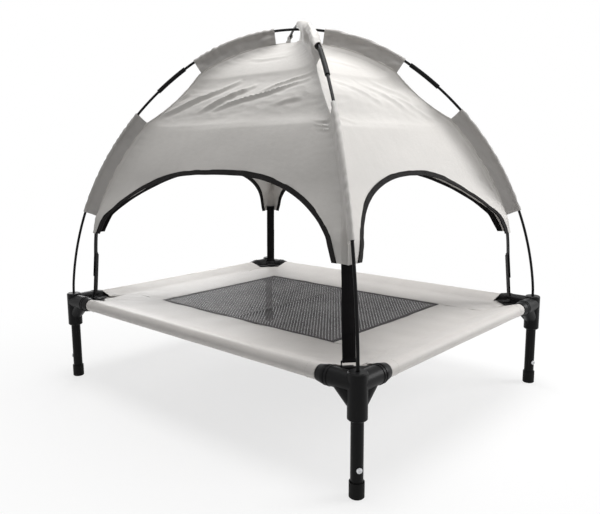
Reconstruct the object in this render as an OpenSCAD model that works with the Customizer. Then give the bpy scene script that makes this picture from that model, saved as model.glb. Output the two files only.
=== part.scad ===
// Raised pet cot: a fabric bed on four push-in legs, with a domed canopy on two crossed poles.
// X runs along the long rails, Y along the short rails, Z is up. The floor is at Z = 0.

/* [Bed frame] */
// Distance between the leg axes along the bed
leg_span_x = 880; // [760:1:1100]
// Distance between the leg axes across the bed
leg_span_y = 710; // [600:1:900]
// Height of the rail axes above the floor
rail_axis_z = 196; // [175:1:300]
// Outside diameter of the rails and legs
tube_d = 22; // [20:0.5:24]
// Wall of the rails and legs
tube_wall = 1.2; // [0.8:0.1:2]

/* [Corner fittings] */
// Outside diameter of the post and of its two rail sockets
socket_d = 34; // [32:0.5:38]
// Length of a rail socket from the leg axis to its mouth
socket_len = 78; // [72:1:90]
// Outside diameter of a rail socket at its mouth
mouth_d = 29.5; // [28:0.5:31]
// Length of the taper at the mouth of a rail socket
mouth_len = 12; // [8:1:14]
// Distance from the mouth of a rail socket to the first grip ring
ring_from_mouth = 17; // [15:1:20]
// Step between the two grip rings
ring_step = 7; // [5:0.5:9]
// Height of a grip ring over the socket
ring_rise = 1; // [0.5:0.1:1.5]
// Distance of a rail's end from the leg axis
rail_end = 16; // [14:0.5:20]
// Height of the flat top of the post over the rail axes
post_rise = 20; // [19:0.5:26]
// Drop of the leg socket's mouth below the rail axes
leg_socket_drop = 61; // [58:1:75]
// Depth of a leg in its socket
leg_insert = 36; // [25:1:38]
// Depth of a pole's tip in the post
pole_insert = 38; // [25:1:40]
// Diameter of the brace under each rail socket
brace_d = 28; // [20:0.5:32]
// Distance from the leg axis to the brace's lower edge on the socket
brace_reach = 44; // [36:1:50]
// Drop of the brace's lower edge on the post below the rail axes
brace_drop = 42; // [34:1:48]

/* [Feet] */
// Outside diameter of a foot
foot_d = 26.5; // [25:0.5:32]
// Height of the foot's cup
foot_h = 28; // [20:1:40]
// Thickness of the foot's sole
sole_t = 4; // [2:0.5:6]
// Height of the foot screw above the floor
screw_z = 52; // [44:1:70]
// Diameter of the foot screw's head
screw_head_d = 10; // [8:0.5:12]
// Diameter of the foot screw's shank
screw_d = 4; // [3:0.5:5]

/* [Bed cover] */
// Length of the mesh centre along the bed
mesh_x = 550; // [420:1:640]
// Width of the mesh centre across the bed
mesh_y = 414; // [320:1:480]
// Number of gaps along the mesh
mesh_gaps_x = 16; // [8:2:20]
// Number of gaps across the mesh
mesh_gaps_y = 12; // [6:2:15]
// Width of the strands between the gaps
mesh_strand = 6; // [3:0.5:10]
// Thickness of the cover's cloth
cover_t = 1.6; // [1:0.1:2.5]
// Thickness of the rail sleeve's cloth
rail_sleeve_t = 2; // [1:0.1:3]
// Distance from a rail's axis to the seam that closes its sleeve
rail_seam = 46; // [38:1:60]
// Width of the band across each corner of the cover
band_w = 21; // [15:1:24]
// Thickness of the corner band
band_t = 2; // [1:0.1:3]

/* [Canopy poles] */
// Height of the lower pole's crown above the post tops
canopy_rise = 626; // [540:1:720]
// Diameter of a pole
pole_d = 6; // [5:0.25:7]
// Radius of the bend just above a post
root_r = 300; // [200:5:400]
// Turn of the bend just above a post, in degrees
root_turn = 6; // [3:0.5:9]
// Slope of the pole's radius where the crown arc meets the side arc, in degrees
crown_turn = 56; // [50:0.5:60]
// Gap between the poles where they cross
crossing_gap = 1; // [0.5:0.1:3]
// Distance along the pole from the end of the crown arc to a ferrule
ferrule_from = 12; // [4:1:40]
// Extra distance along the upper pole to its ferrules and lower sleeves
upper_pole_shift = 20; // [0:1:26]
// Length of a ferrule
ferrule_len = 83; // [60:1:110]
// Outside diameter of a ferrule
ferrule_d = 10; // [8.5:0.25:12]
// Outside diameter of a pole's steel tip
tip_d = 7.8; // [7.5:0.1:9]

/* [Canopy cloth] */
// Distance along the pole from the crown to the upper sleeve
upper_sleeve_from = 50; // [35:1:80]
// Distance along the pole from the upper sleeve to the end of the crown arc
upper_sleeve_short = 10; // [2:1:40]
// Distance along the pole from the end of the crown arc to the lower sleeve
lower_sleeve_from = 169; // [155:1:200]
// Length of the lower sleeve along the pole
lower_sleeve_len = 275; // [200:1:285]
// Thickness of the cloth round the pole
pole_sleeve_t = 1.2; // [0.8:0.1:2]
// Distance from the pole's axis to the canopy's ridge
flap_w = 30; // [22:1:40]
// Extra dip of the ridge between the sleeves
ridge_dip = 14; // [0:1:24]
// Distance along the pole from the end of the crown arc to the canopy's corner tips
tip_from = 490; // [465:1:520]
// Extra distance of a corner tip from the pole
tip_in = 6; // [0:1:16]
// Thickness of the canopy's panels
panel_t = 1.4; // [1:0.1:2.5]
// Sag of a panel between its ridges
panel_sag = 5; // [0:1:20]
// Rise of a panel where it runs out into a flap
panel_flare = 14; // [0:1:20]
// Height of the arched doorways, measured along the panel
arch_h = 186; // [120:1:230]
// Width of the cloth left beside a doorway at each corner tip
tip_half_w = 20; // [16:1:40]
// Width of the tape along the doorways
tape_w = 12; // [8:0.5:20]
// Height of the tape over the cloth on each face
tape_rise = 0.5; // [0.3:0.1:1]

/* [Canopy straps] */
// Width of the straps
strap_w = 23; // [18:0.5:26]
// Thickness of the straps
strap_t = 1.5; // [1:0.1:2.5]
// Lap of the strap under the cloth of the corner tip
strap_tuck = 15; // [8:1:24]
// Length of the lower strap from its ring
loop_len = 103; // [70:1:120]
// Lap of the upper strap on the lower strap
strap_lap = 56; // [30:1:60]
// Thickness of the strap ring's wire
ring_wire = 2.6; // [2:0.1:3.2]
// Distance between the two bars of a strap ring
ring_pitch = 12.6; // [11:0.1:16]

/* [Fits] */
// Clearance round a tube in its socket
tube_clear = 0.3; // [0.2:0.05:0.5]
// Clearance round a pole in its sleeves
pole_clear = 0.4; // [0.3:0.05:0.6]
// Clearance round a pole in its ferrules and tips
joint_clear = 0.15; // [0.1:0.05:0.3]
// Clearance round a pole tip in the post
tip_clear = 0.3; // [0.2:0.05:0.5]
// Clearance between cloth pieces that meet edge to edge
seam_clear = 0.3; // [0.2:0.05:0.5]

/* [Hidden] */
$fn = 64;

// Corners and sides run anticlockwise from the front left corner, seen from above.
CORNERS = ["front_left", "front_right", "back_right", "back_left"];
SIDES = ["front", "right", "back", "left"];
CORNER_SIGN = [[-1, -1], [1, -1], [1, 1], [-1, 1]];
SIDE_OUT = [[0, -1], [1, 0], [0, 1], [-1, 0]];
// Way each foot screw faces, in degrees from +X
SCREW_AIM = [214, -34, -22, 202];

BLACK = "#1b1b1d";
STEEL_BLACK = "#232326";
RUBBER = "#151515";
BRIGHT = "#c4c6c8";
COVER_GREY = "#d9d6d1";
CANOPY_GREY = "#b9b7b3";
SLEEVE_GREY = "#a3a19d";
MESH_GREY = "#4b4848";

half_diag = norm([leg_span_x, leg_span_y]) / 2;
post_top_z = rail_axis_z + post_rise;
leg_mouth_z = rail_axis_z - leg_socket_drop;
leg_top_z = leg_mouth_z + leg_insert;
bore_d = tube_d + 2 * tube_clear;
// Gap at the blind end of a bore
bore_end = 0.3;
// Gap between a socket's mouth and the rail's sleeve
sleeve_gap = 2;
// Lap of one cloth layer on the next, inside a sewn piece
cloth_lap = 4;
// Gap between a strap's eye and the band under it
eye_gap = 0.1;
eps = 0.01;

// Cloth levels: the cover lies on the plane of the rail axes, the bands on the cover.
cover_top_z = rail_axis_z + cover_t / 2;
band_top_z = cover_top_z + seam_clear + band_t;
rail_sleeve_ri = bore_d / 2;
rail_sleeve_ro = rail_sleeve_ri + rail_sleeve_t;
sleeve_end = socket_len + sleeve_gap;
band_clear = socket_d / 2 + ring_rise + sleeve_gap / 2;
band_out = sleeve_end - cloth_lap;
band_in = band_out + band_w * sqrt(2);
cover_cut = (band_out + band_in) / 2;

function leg_xy(i) = [CORNER_SIGN[i][0] * leg_span_x / 2, CORNER_SIGN[i][1] * leg_span_y / 2];
function diag_dir(i) = leg_xy(i) / half_diag;
function diag_turn(i) = atan2(leg_xy(i)[1], leg_xy(i)[0]);

// Pole shape in its upright plane: a crown arc, a side arc and a root bend, tangent to each other.
// Pole 0 runs between the front left and back right posts, and pole 1 crosses over it.
pole_lift = pole_d + crossing_gap;
function rise(k) = canopy_rise + k * pole_lift;
arc_a = cos(root_turn) - cos(crown_turn);
arc_b = sin(crown_turn) - sin(root_turn);
arc_det = cos(crown_turn) * arc_b - arc_a * (1 - sin(crown_turn));
run_x = half_diag - root_r * (1 - cos(root_turn));
function run_z(k) = rise(k) - root_r * sin(root_turn);
function crown_r(k) = (run_x * arc_b - arc_a * run_z(k)) / arc_det;
function side_r(k) = (cos(crown_turn) * run_z(k) - (1 - sin(crown_turn)) * run_x) / arc_det;
function unit(t) = [cos(t), sin(t)];
function crown_centre(k) = [0, post_top_z + rise(k) - crown_r(k)];
function side_centre(k) = crown_centre(k) + (crown_r(k) - side_r(k)) * unit(crown_turn);
root_centre = [half_diag - root_r, post_top_z];
function arc_len(r, turn) = r * turn * PI / 180;
function arc_turn(r, l) = l / r * 180 / PI;
function crown_l(k) = arc_len(crown_r(k), 90 - crown_turn);
function side_l(k) = arc_len(side_r(k), crown_turn - root_turn);
function turn_at(k, l) =
    l <= crown_l(k) ? 90 - arc_turn(crown_r(k), l) :
    l <= crown_l(k) + side_l(k) ? crown_turn - arc_turn(side_r(k), l - crown_l(k)) :
    max(0, root_turn - arc_turn(root_r, l - crown_l(k) - side_l(k)));
function pole_at(k, l, inward) =
    let (t = turn_at(k, l))
    t >= crown_turn ? crown_centre(k) + (crown_r(k) - inward) * unit(t) :
    t >= root_turn ? side_centre(k) + (side_r(k) - inward) * unit(t) :
    root_centre + (root_r - inward) * unit(t);
function pole_l(k) = crown_l(k) + side_l(k) + arc_len(root_r, root_turn);
function ferrule_start(k) = crown_l(k) + ferrule_from + k * upper_pole_shift;
function ferrule_mid(k) = ferrule_start(k) + ferrule_len / 2;

// Thickness of the closed end of a pole's steel tip
tip_floor = 2;

// Ridge of the canopy: how far it lies inside the pole at a distance l from the crown.
function upper_sleeve_end(k) = crown_l(k) - upper_sleeve_short;
function lower_sleeve_start(k) = crown_l(k) + lower_sleeve_from + k * upper_pole_shift;
function lower_sleeve_end(k) =
    min(lower_sleeve_start(k) + lower_sleeve_len, sleeve_stop * tip_l(k) / tip_l(0));
function tip_l(k) = crown_l(k) + tip_from;
function ease(t) = let (c = min(1, max(0, t))) c * c * (3 - 2 * c);
function share(l, from, to) = min(1, max(0, (l - from) / max(eps, to - from)));
function upper_flap(k) = flap_w + k * pole_lift;
function ridge_in(k, l) =
    let (free = share(l, upper_sleeve_end(k), lower_sleeve_start(k)))
    upper_flap(k) + (flap_w - upper_flap(k)) * ease(free)
    + ridge_dip * 4 * free * (1 - free)
    + tip_in * share(l, lower_sleeve_end(k), tip_l(k));
function ridge_sz(k, l) = pole_at(k, l, ridge_in(k, l));
function ridge_at(i, l) =
    let (p = ridge_sz(i % 2, l * tip_l(i % 2) / tip_l(0)))
    [diag_dir(i)[0] * p[0], diag_dir(i)[1] * p[0], p[1]];

// Panel j spans from ridge j at u = -1 to ridge j + 1 at u = 1; depth runs inward from its outer face.
panel_l = tip_l(0);
arch_top = panel_l - arch_h;
panel_shift = 1.5 * seam_clear;
function panel_out(j, l) =
    let (t = turn_at(0, l))
    [SIDE_OUT[j][0] * cos(t), SIDE_OUT[j][1] * cos(t), sin(t)];
function panel_sag_at(u, l) = panel_sag * (1 - u * u) * max(0, sin(180 * l / arch_top));
function panel_half(j) = norm(ridge_at((j + 1) % 4, panel_l) - ridge_at(j, panel_l)) / 2;
function along(j) = abs(diag_dir(j)[j % 2]);
function across(j) = abs(diag_dir(j)[1 - j % 2]);

// Beside a ridge a panel flares out towards the flaps, less between the sleeves and not at the tips.
// Distance over which it flares
flare_run = 17;
// Share of the flare that is lost between the sleeves
flare_slack = 0.65;
// Distances over which the flare grows from the crown, and fades above the flats
flare_grow = 120;
flare_fade = 45;
function panel_pull(l) =
    let (free = share(l, upper_sleeve_end(0), lower_sleeve_start(0)))
    (1 - flare_slack * pow(sin(180 * free), 2)) * ease(l / flare_grow)
    * (1 - ease(share(l, flat_l - flare_fade, flat_l)));
function flare_at(j, e, l) =
    panel_flare * across(j) / along(j) * panel_pull(l) * (1 - exp(-e / flare_run));

// At a corner tip both panels turn out to a flat, square to the diagonal, that covers the strap's end.
flat_half = strap_w / 2 + seam_clear;
// Lap of the flat over the strap's end
flat_over = 6;
flat_l = panel_l - strap_tuck - flat_over;
// Lengths over which the flat forms down the panel, and runs out beside the strap
flat_blend = 24;
flat_run = 60;
// A lower sleeve ends before the flat has formed
sleeve_stop = flat_l - 2 / 3 * flat_blend;
function flat_w(j) = flat_half * across(j);
function tip_push(j, u, l) =
    let (e = (1 - abs(u)) * panel_half(j), w = flat_w(j))
    flat_half * along(j) * ease(share(l, flat_l - flat_blend, flat_l))
    * (e < w ? e / w : 1 - ease((e - w) / flat_run));

// The edges of neighbouring panels are mitred, so that they meet along the diagonal.
function panel_at(j, u, l, depth) =
    let (a = ridge_at(j, l), b = ridge_at((j + 1) % 4, l), span = b - a,
         mitre = depth * cos(turn_at(0, l)) * along(j) / across(j),
         flare = flare_at(j, (1 - abs(u)) * norm(span) / 2, l))
    (a + b) / 2 + u * span * (1 / 2 - mitre / max(eps, norm(span)))
    + panel_shift * [SIDE_OUT[j][0], SIDE_OUT[j][1], 0]
    + (tip_push(j, u, l) - panel_sag_at(u, l) - flare - depth) * panel_out(j, l);

// Doorway arch: phi runs from -90 to 90 degrees across the panel, inset shrinks the arch.
arch_steps = 8;
// Squareness of the long sides' doorways and of the ends'
ARCH_SQUARE = [2.9, 2.4];
arch_round = 0.64;
ARCH_PHI = [for (i = [-arch_steps : arch_steps]) 90 * i / arch_steps];
function arch_u(j, phi, inset) = (1 - (tip_half_w + inset) / panel_half(j)) * sin(phi);
function arch_l(j, phi, inset) =
    panel_l - (arch_h - inset) * pow(max(0, 1 - pow(abs(sin(phi)), ARCH_SQUARE[j % 2])), arch_round);

// Straps hang in the pole planes, from inside the corner tips to the rings on the corner bands.
eye_r = ring_wire / 2 + seam_clear;
eye_ro = eye_r + strap_t;
ring_z = band_top_z + eye_gap + eye_ro;
ring_set_in = 1;
function ring_s(i) = half_diag - band_out / (abs(diag_dir(i)[0]) + abs(diag_dir(i)[1])) - ring_set_in;
strap_off = strap_t + seam_clear + strap_t / 2;
strap_in = 2 * panel_t + strap_t / 2;
function strap_top_sz(i) = ridge_sz(i % 2, tip_l(i % 2) - strap_tuck) - [strap_in, 0];
function strap_lean(i) = atan2(ring_s(i) + strap_off - strap_top_sz(i)[0], strap_top_sz(i)[1] - ring_z);
function strap_top(i) = (strap_top_sz(i)[1] - ring_z) / cos(strap_lean(i));
ring_half_w = strap_w / 2 + seam_clear + ring_wire / 2;

module at_corner(i) {
    translate([leg_xy(i)[0], leg_xy(i)[1], 0])
        children();
}

module at_diagonal(i) {
    rotate([0, 0, diag_turn(i)])
        children();
}

module along_strap(i) {
    at_diagonal(i)
        translate([ring_s(i), 0, ring_z])
            rotate([0, -strap_lean(i), 0])
                children();
}

// Extrudes an outline drawn in x and z across the strap.
module across_strap(w) {
    rotate([90, 0, 0])
        linear_extrude(w, center = true)
            children();
}

// Sweeps an outline round an arc in the x and z plane; its x points away from the arc's centre.
module arc_sweep(centre, r, from, to) {
    translate([centre[0], 0, centre[1]])
        rotate([90, 0, 0])
            rotate([0, 0, from])
                rotate_extrude(angle = to - from, $fn = 180)
                    translate([r, 0])
                        children();
}

// Sweeps an outline along one half of pole k, between two distances from the crown on one arc.
module crown_sweep(k, from, to) {
    arc_sweep(crown_centre(k), crown_r(k), turn_at(k, to), turn_at(k, from))
        children();
}

module side_sweep(k, from, to) {
    arc_sweep(side_centre(k), side_r(k), turn_at(k, to), turn_at(k, from))
        children();
}

// A round tube through stations [x, z, turn] in the x and z plane, where turn is the way its radius points.
module pole_tube(stations) {
    sides = 10;
    points = [for (s = stations, q = [0 : sides - 1])
        let (a = 360 * q / sides, out = pole_d / 2 * cos(a))
        [s[0] + out * cos(s[2]), pole_d / 2 * sin(a), s[1] + out * sin(s[2])]];
    end = (len(stations) - 1) * sides;
    faces = [
        for (n = [0 : len(stations) - 2], q = [0 : sides - 1])
            let (a = n * sides + q, b = n * sides + (q + 1) % sides) each [
                [a, b, b + sides],
                [a, b + sides, a + sides]
            ],
        for (q = [1 : sides - 2]) each [
            [0, q + 1, q],
            [end, end + q, end + q + 1]
        ]
    ];
    polyhedron(points, faces);
}

// Stations along pole k; a negative distance lies on the far side of the crown.
pole_step = 24;
function pole_stations(k, from, to) =
    let (count = ceil((to - from) / pole_step))
    [for (n = [0 : count])
        let (l = from + (to - from) * n / count, p = pole_at(k, abs(l), 0), t = turn_at(k, abs(l)))
        [sign(l) * p[0], p[1], l < 0 ? 180 - t : t]];

module fitting_post() {
    chamfer = 2;
    translate([0, 0, leg_mouth_z + chamfer])
        cylinder(d = socket_d, h = post_top_z - leg_mouth_z - 2 * chamfer);
    translate([0, 0, leg_mouth_z])
        cylinder(d1 = socket_d - 2 * chamfer, d2 = socket_d, h = chamfer);
    translate([0, 0, post_top_z - chamfer])
        cylinder(d1 = socket_d, d2 = socket_d - 2 * chamfer, h = chamfer);
}

// A round brace, whose lower edge runs from the post to the underside of the socket.
module fitting_brace() {
    run = [brace_reach - socket_d / 2, brace_drop - socket_d / 2];
    sunk = 6;
    translate([socket_d / 2, 0, rail_axis_z - brace_drop])
        rotate([0, 90 - atan2(run[1], run[0]), 0])
            translate([-brace_d / 2, 0, -sunk])
                cylinder(d = brace_d, h = norm(run) + 2 * sunk);
}

module fitting_socket() {
    ring_w = 2.4;
    translate([0, 0, rail_axis_z])
        rotate([0, 90, 0]) {
            cylinder(d = socket_d, h = socket_len - mouth_len);
            translate([0, 0, socket_len - mouth_len])
                cylinder(d1 = socket_d, d2 = mouth_d, h = mouth_len);
            for (n = [0, 1])
                translate([0, 0, socket_len - ring_from_mouth - n * ring_step - ring_w / 2])
                    cylinder(d = socket_d + 2 * ring_rise, h = ring_w);
        }
    fitting_brace();
}

module corner_fitting(i) {
    color(BLACK)
        at_corner(i)
            rotate([0, 0, 90 * i])
                difference() {
                    union() {
                        fitting_post();
                        for (turn = [0, 90])
                            rotate([0, 0, turn])
                                fitting_socket();
                    }
                    for (turn = [0, 90])
                        rotate([0, 0, turn])
                            translate([rail_end - bore_end, 0, rail_axis_z])
                                rotate([0, 90, 0])
                                    cylinder(d = bore_d, h = socket_len);
                    translate([0, 0, leg_mouth_z - eps])
                        cylinder(d = bore_d, h = leg_insert + bore_end + eps);
                    translate([0, 0, post_top_z - pole_insert - bore_end])
                        cylinder(d = tip_d + 2 * tip_clear, h = pole_insert + 1);
                }
}

module leg_tube(i) {
    color(STEEL_BLACK)
        at_corner(i)
            difference() {
                translate([0, 0, sole_t + bore_end])
                    cylinder(d = tube_d, h = leg_top_z - sole_t - bore_end);
                translate([0, 0, -eps])
                    cylinder(d = tube_d - 2 * tube_wall, h = leg_top_z + 1);
                translate([0, 0, screw_z])
                    rotate([0, 90, SCREW_AIM[i]])
                        cylinder(d = screw_d + 2 * tube_clear, h = tube_d);
            }
}

module foot(i) {
    plug_d = tube_d - 2 * tube_wall - 2 * tube_clear;
    edge = 1.5;
    plug_over_screw = 8;
    color(RUBBER)
        at_corner(i)
            difference() {
                union() {
                    cylinder(d1 = foot_d - 2 * edge, d2 = foot_d, h = edge);
                    difference() {
                        translate([0, 0, edge])
                            cylinder(d = foot_d, h = foot_h - edge);
                        translate([0, 0, sole_t])
                            cylinder(d = tube_d + 2 * tube_clear, h = foot_h);
                    }
                    translate([0, 0, edge])
                        cylinder(d = plug_d, h = screw_z + plug_over_screw - edge);
                }
                translate([0, 0, screw_z])
                    rotate([0, 90, SCREW_AIM[i]])
                        cylinder(d = screw_d + 2 * joint_clear, h = foot_d);
            }
}

module foot_screw(i) {
    head_h = 3;
    crown_h = 1;
    recess_w = 1.4;
    color(BRIGHT)
        at_corner(i)
            translate([0, 0, screw_z])
                rotate([0, 90, SCREW_AIM[i]])
                    difference() {
                        union() {
                            translate([0, 0, bore_end])
                                cylinder(d = screw_d, h = tube_d / 2);
                            translate([0, 0, tube_d / 2]) {
                                cylinder(d = screw_head_d, h = head_h - crown_h);
                                translate([0, 0, head_h - crown_h])
                                    cylinder(d1 = screw_head_d, d2 = screw_head_d / 2, h = crown_h);
                            }
                        }
                        for (turn = [0, 90])
                            rotate([0, 0, turn])
                                translate([-screw_head_d / 4, -recess_w / 2, tube_d / 2 + head_h - crown_h])
                                    cube([screw_head_d / 2, recess_w, head_h]);
                    }
}

// Long axis of side j: the sides 0 and 2 run along X, the sides 1 and 3 along Y.
function side_len(j) = j % 2 == 0 ? leg_span_x : leg_span_y;
function side_across(j) = j % 2 == 0 ? leg_span_y : leg_span_x;

// Puts a side drawn along x, with its inside towards +y, in its place.
module at_side(j) {
    rotate([0, 0, 90 * j])
        translate([0, -side_across(j) / 2, 0])
            children();
}

module rail(j) {
    length = side_len(j) - 2 * rail_end;
    color(STEEL_BLACK)
        at_side(j)
            translate([-length / 2, 0, rail_axis_z])
                rotate([0, 90, 0])
                    difference() {
                        cylinder(d = tube_d, h = length);
                        translate([0, 0, -eps])
                            cylinder(d = tube_d - 2 * tube_wall, h = length + 2 * eps);
                    }
}

// Round at the rail, drawn out to a point at the seam.
module teardrop(r, reach) {
    t = acos(r / reach);
    circle(r = r);
    polygon([[r * cos(t), r * sin(t)], [reach, 0], [r * cos(t), -r * sin(t)]]);
}

module rail_sleeve(j) {
    length = side_len(j) - 2 * sleeve_end;
    translate([-length / 2, 0, rail_axis_z])
        rotate([90, 0, 90])
            linear_extrude(length)
                difference() {
                    teardrop(rail_sleeve_ro, rail_seam);
                    teardrop(rail_sleeve_ri, rail_seam * rail_sleeve_ri / rail_sleeve_ro);
                }
}

// Where the flat cloth starts, just outside its seam with the sleeve.
sheet_from = rail_seam - cloth_lap;

module cover_sheet(outline) {
    translate([0, 0, rail_axis_z - cover_t / 2])
        linear_extrude(cover_t)
            polygon(outline);
}

// The front and back covers run the full length and are cut across at the corners.
module long_cover(j) {
    x_end = leg_span_x / 2 - rail_seam - seam_clear;
    x_cut = leg_span_x / 2 - max(rail_seam + seam_clear, cover_cut - sheet_from);
    y_cut = max(sheet_from, cover_cut - rail_seam - seam_clear);
    y_in = (leg_span_y - mesh_y) / 2 - seam_clear;
    color(COVER_GREY)
        at_side(j) {
            rail_sleeve(j);
            cover_sheet([[-x_cut, sheet_from], [x_cut, sheet_from], [x_end, y_cut],
                         [x_end, y_in], [-x_end, y_in], [-x_end, y_cut]]);
        }
}

// The end covers lie between the long covers, as wide as the mesh.
module end_cover(j) {
    y_in = (leg_span_x - mesh_x) / 2 - seam_clear;
    color(COVER_GREY)
        at_side(j) {
            rail_sleeve(j);
            cover_sheet([[-mesh_y / 2, sheet_from], [mesh_y / 2, sheet_from],
                         [mesh_y / 2, y_in], [-mesh_y / 2, y_in]]);
        }
}

module mesh_centre() {
    pitch = [mesh_x / mesh_gaps_x, mesh_y / mesh_gaps_y];
    color(MESH_GREY)
        translate([0, 0, rail_axis_z - cover_t / 2])
            linear_extrude(cover_t)
                difference() {
                    square([mesh_x, mesh_y], center = true);
                    for (ix = [0 : mesh_gaps_x - 1], iy = [0 : mesh_gaps_y - 1])
                        translate([(ix + 0.5) * pitch[0] - mesh_x / 2, (iy + 0.5) * pitch[1] - mesh_y / 2])
                            square([pitch[0] - mesh_strand, pitch[1] - mesh_strand], center = true);
                }
}

module corner_band(i) {
    far = sleeve_end - seam_clear;
    at_corner(i)
        rotate([0, 0, 90 * i])
            translate([0, 0, band_top_z - band_t])
                linear_extrude(band_t)
                    polygon([[band_out - band_clear, band_clear], [far, band_clear], [far, band_in - far],
                             [band_in - far, far], [band_clear, far], [band_clear, band_out - band_clear]]);
}

module corner_bands() {
    color(BLACK)
        for (i = [0 : 3])
            corner_band(i);
}

// A webbing eye round a ring's bar.
module eye_ring() {
    difference() {
        circle(r = eye_ro);
        circle(r = eye_r);
    }
}

module anchor_tabs() {
    foot_len = 18;
    color(BLACK)
        for (i = [0 : 3])
            at_diagonal(i)
                translate([ring_s(i), 0, ring_z])
                    across_strap(strap_w)
                        union() {
                            eye_ring();
                            translate([-foot_len, -eye_ro])
                                square([foot_len, strap_t]);
                        }
}

module strap_ring() {
    for (z = [0, ring_pitch])
        translate([0, 0, z])
            rotate([90, 0, 0])
                cylinder(d = ring_wire, h = 2 * ring_half_w, center = true);
    for (y = [-ring_half_w, ring_half_w])
        translate([0, y, 0]) {
            cylinder(d = ring_wire, h = ring_pitch);
            for (z = [0, ring_pitch])
                translate([0, 0, z])
                    sphere(d = ring_wire);
        }
}

module strap_rings() {
    color(BLACK)
        for (i = [0 : 3])
            along_strap(i)
                strap_ring();
}

module strap_loops() {
    color(BLACK)
        for (i = [0 : 3])
            along_strap(i)
                translate([0, 0, ring_pitch])
                    across_strap(strap_w)
                        union() {
                            eye_ring();
                            translate([-strap_t, eye_r + strap_t / 2])
                                square([2 * strap_t, loop_len - eye_r - strap_t / 2]);
                        }
}

module strap(i) {
    from = ring_pitch + loop_len - strap_lap;
    color(BLACK)
        along_strap(i)
            translate([strap_off - strap_t / 2, -strap_w / 2, from])
                cube([strap_t, strap_w, strap_top(i) - from]);
}

// Middle section of pole k, from ferrule to ferrule over the crown.
module pole_crown(k) {
    reach = ferrule_mid(k) - joint_clear;
    color(STEEL_BLACK)
        at_diagonal(k)
            pole_tube(pole_stations(k, -reach, reach));
}

// Lower section at corner i, from its ferrule down into the post.
module pole_leg(i) {
    k = i % 2;
    end_z = post_top_z - pole_insert + tip_floor + joint_clear;
    color(STEEL_BLACK)
        at_diagonal(i)
            pole_tube(concat(pole_stations(k, ferrule_mid(k) + joint_clear, pole_l(k)), [[half_diag, end_z, 0]]));
}

module ferrules() {
    color(BLACK)
        for (i = [0 : 3])
            at_diagonal(i)
                side_sweep(i % 2, ferrule_start(i % 2), ferrule_start(i % 2) + ferrule_len)
                    difference() {
                        circle(d = ferrule_d);
                        circle(d = pole_d + 2 * joint_clear);
                    }
}

module pole_tips() {
    below_top = 2;
    color(BRIGHT)
        for (i = [0 : 3])
            at_diagonal(i)
                translate([half_diag, 0, post_top_z - pole_insert])
                    difference() {
                        cylinder(d = tip_d, h = pole_insert - below_top);
                        translate([0, 0, tip_floor])
                            cylinder(d = pole_d + 2 * joint_clear, h = pole_insert);
                    }
}

// Cloth round the pole, with a flat flap that reaches in to the canopy's ridge.
module sleeve_outline(flap) {
    hole_r = pole_d / 2 + pole_clear;
    flap_t = 2 * pole_sleeve_t;
    reach = flap - seam_clear - panel_shift;
    difference() {
        union() {
            circle(r = hole_r + pole_sleeve_t);
            translate([-reach, -flap_t / 2])
                square([reach, flap_t]);
        }
        circle(r = hole_r);
    }
}

module upper_sleeve(i) {
    color(SLEEVE_GREY)
        at_diagonal(i)
            crown_sweep(i % 2, upper_sleeve_from, upper_sleeve_end(i % 2))
                sleeve_outline(upper_flap(i % 2));
}

module lower_sleeve(i) {
    color(SLEEVE_GREY)
        at_diagonal(i)
            side_sweep(i % 2, lower_sleeve_start(i % 2), lower_sleeve_end(i % 2))
                sleeve_outline(flap_w);
}

// Canopy panel: columns follow the doorway's steps and the flats at the tips. Rows run from the crown
// to the lower edge, and the last but one lies at the top of the flats.
panel_rows = 13;
function panel_columns(j) =
    let (flat_u = 1 - flat_w(j) / panel_half(j))
    concat([[-1, panel_l], [-flat_u, panel_l]],
           [for (phi = ARCH_PHI) [arch_u(j, phi, 0), arch_l(j, phi, 0)]],
           [[flat_u, panel_l], [1, panel_l]]);
panel_cols = len(panel_columns(0));
function row_share(r) = r == panel_rows ? 1 : r / (panel_rows - 1) * flat_l / panel_l;
function panel_points(j, depth) = [
    panel_at(j, 0, 0, depth),
    for (r = [1 : panel_rows], column = panel_columns(j))
        panel_at(j, column[0], column[1] * row_share(r), depth)
];

module canopy_panel(j) {
    face_points = 1 + panel_rows * panel_cols;
    last = panel_cols - 1;
    function at(r, c, inner) = (r == 0 ? 0 : 1 + (r - 1) * panel_cols + c) + inner * face_points;
    faces = [
        for (r = [0 : panel_rows - 1], c = [0 : last - 1]) each [
            if (r > 0) [at(r, c, 0), at(r, c + 1, 0), at(r + 1, c + 1, 0)],
            [at(r, c, 0), at(r + 1, c + 1, 0), at(r + 1, c, 0)],
            if (r > 0) [at(r, c, 1), at(r + 1, c + 1, 1), at(r, c + 1, 1)],
            [at(r, c, 1), at(r + 1, c, 1), at(r + 1, c + 1, 1)]
        ],
        for (r = [0 : panel_rows - 1]) each [
            [at(r, 0, 0), at(r + 1, 0, 0), at(r + 1, 0, 1)],
            [at(r, 0, 0), at(r + 1, 0, 1), at(r, 0, 1)],
            [at(r + 1, last, 0), at(r, last, 0), at(r, last, 1)],
            [at(r + 1, last, 0), at(r, last, 1), at(r + 1, last, 1)]
        ],
        for (c = [0 : last - 1]) each [
            [at(panel_rows, c, 0), at(panel_rows, c + 1, 0), at(panel_rows, c + 1, 1)],
            [at(panel_rows, c, 0), at(panel_rows, c + 1, 1), at(panel_rows, c, 1)]
        ]
    ];
    color(CANOPY_GREY)
        polyhedron(concat(panel_points(j, 0), panel_points(j, panel_t)), faces);
}

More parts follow.
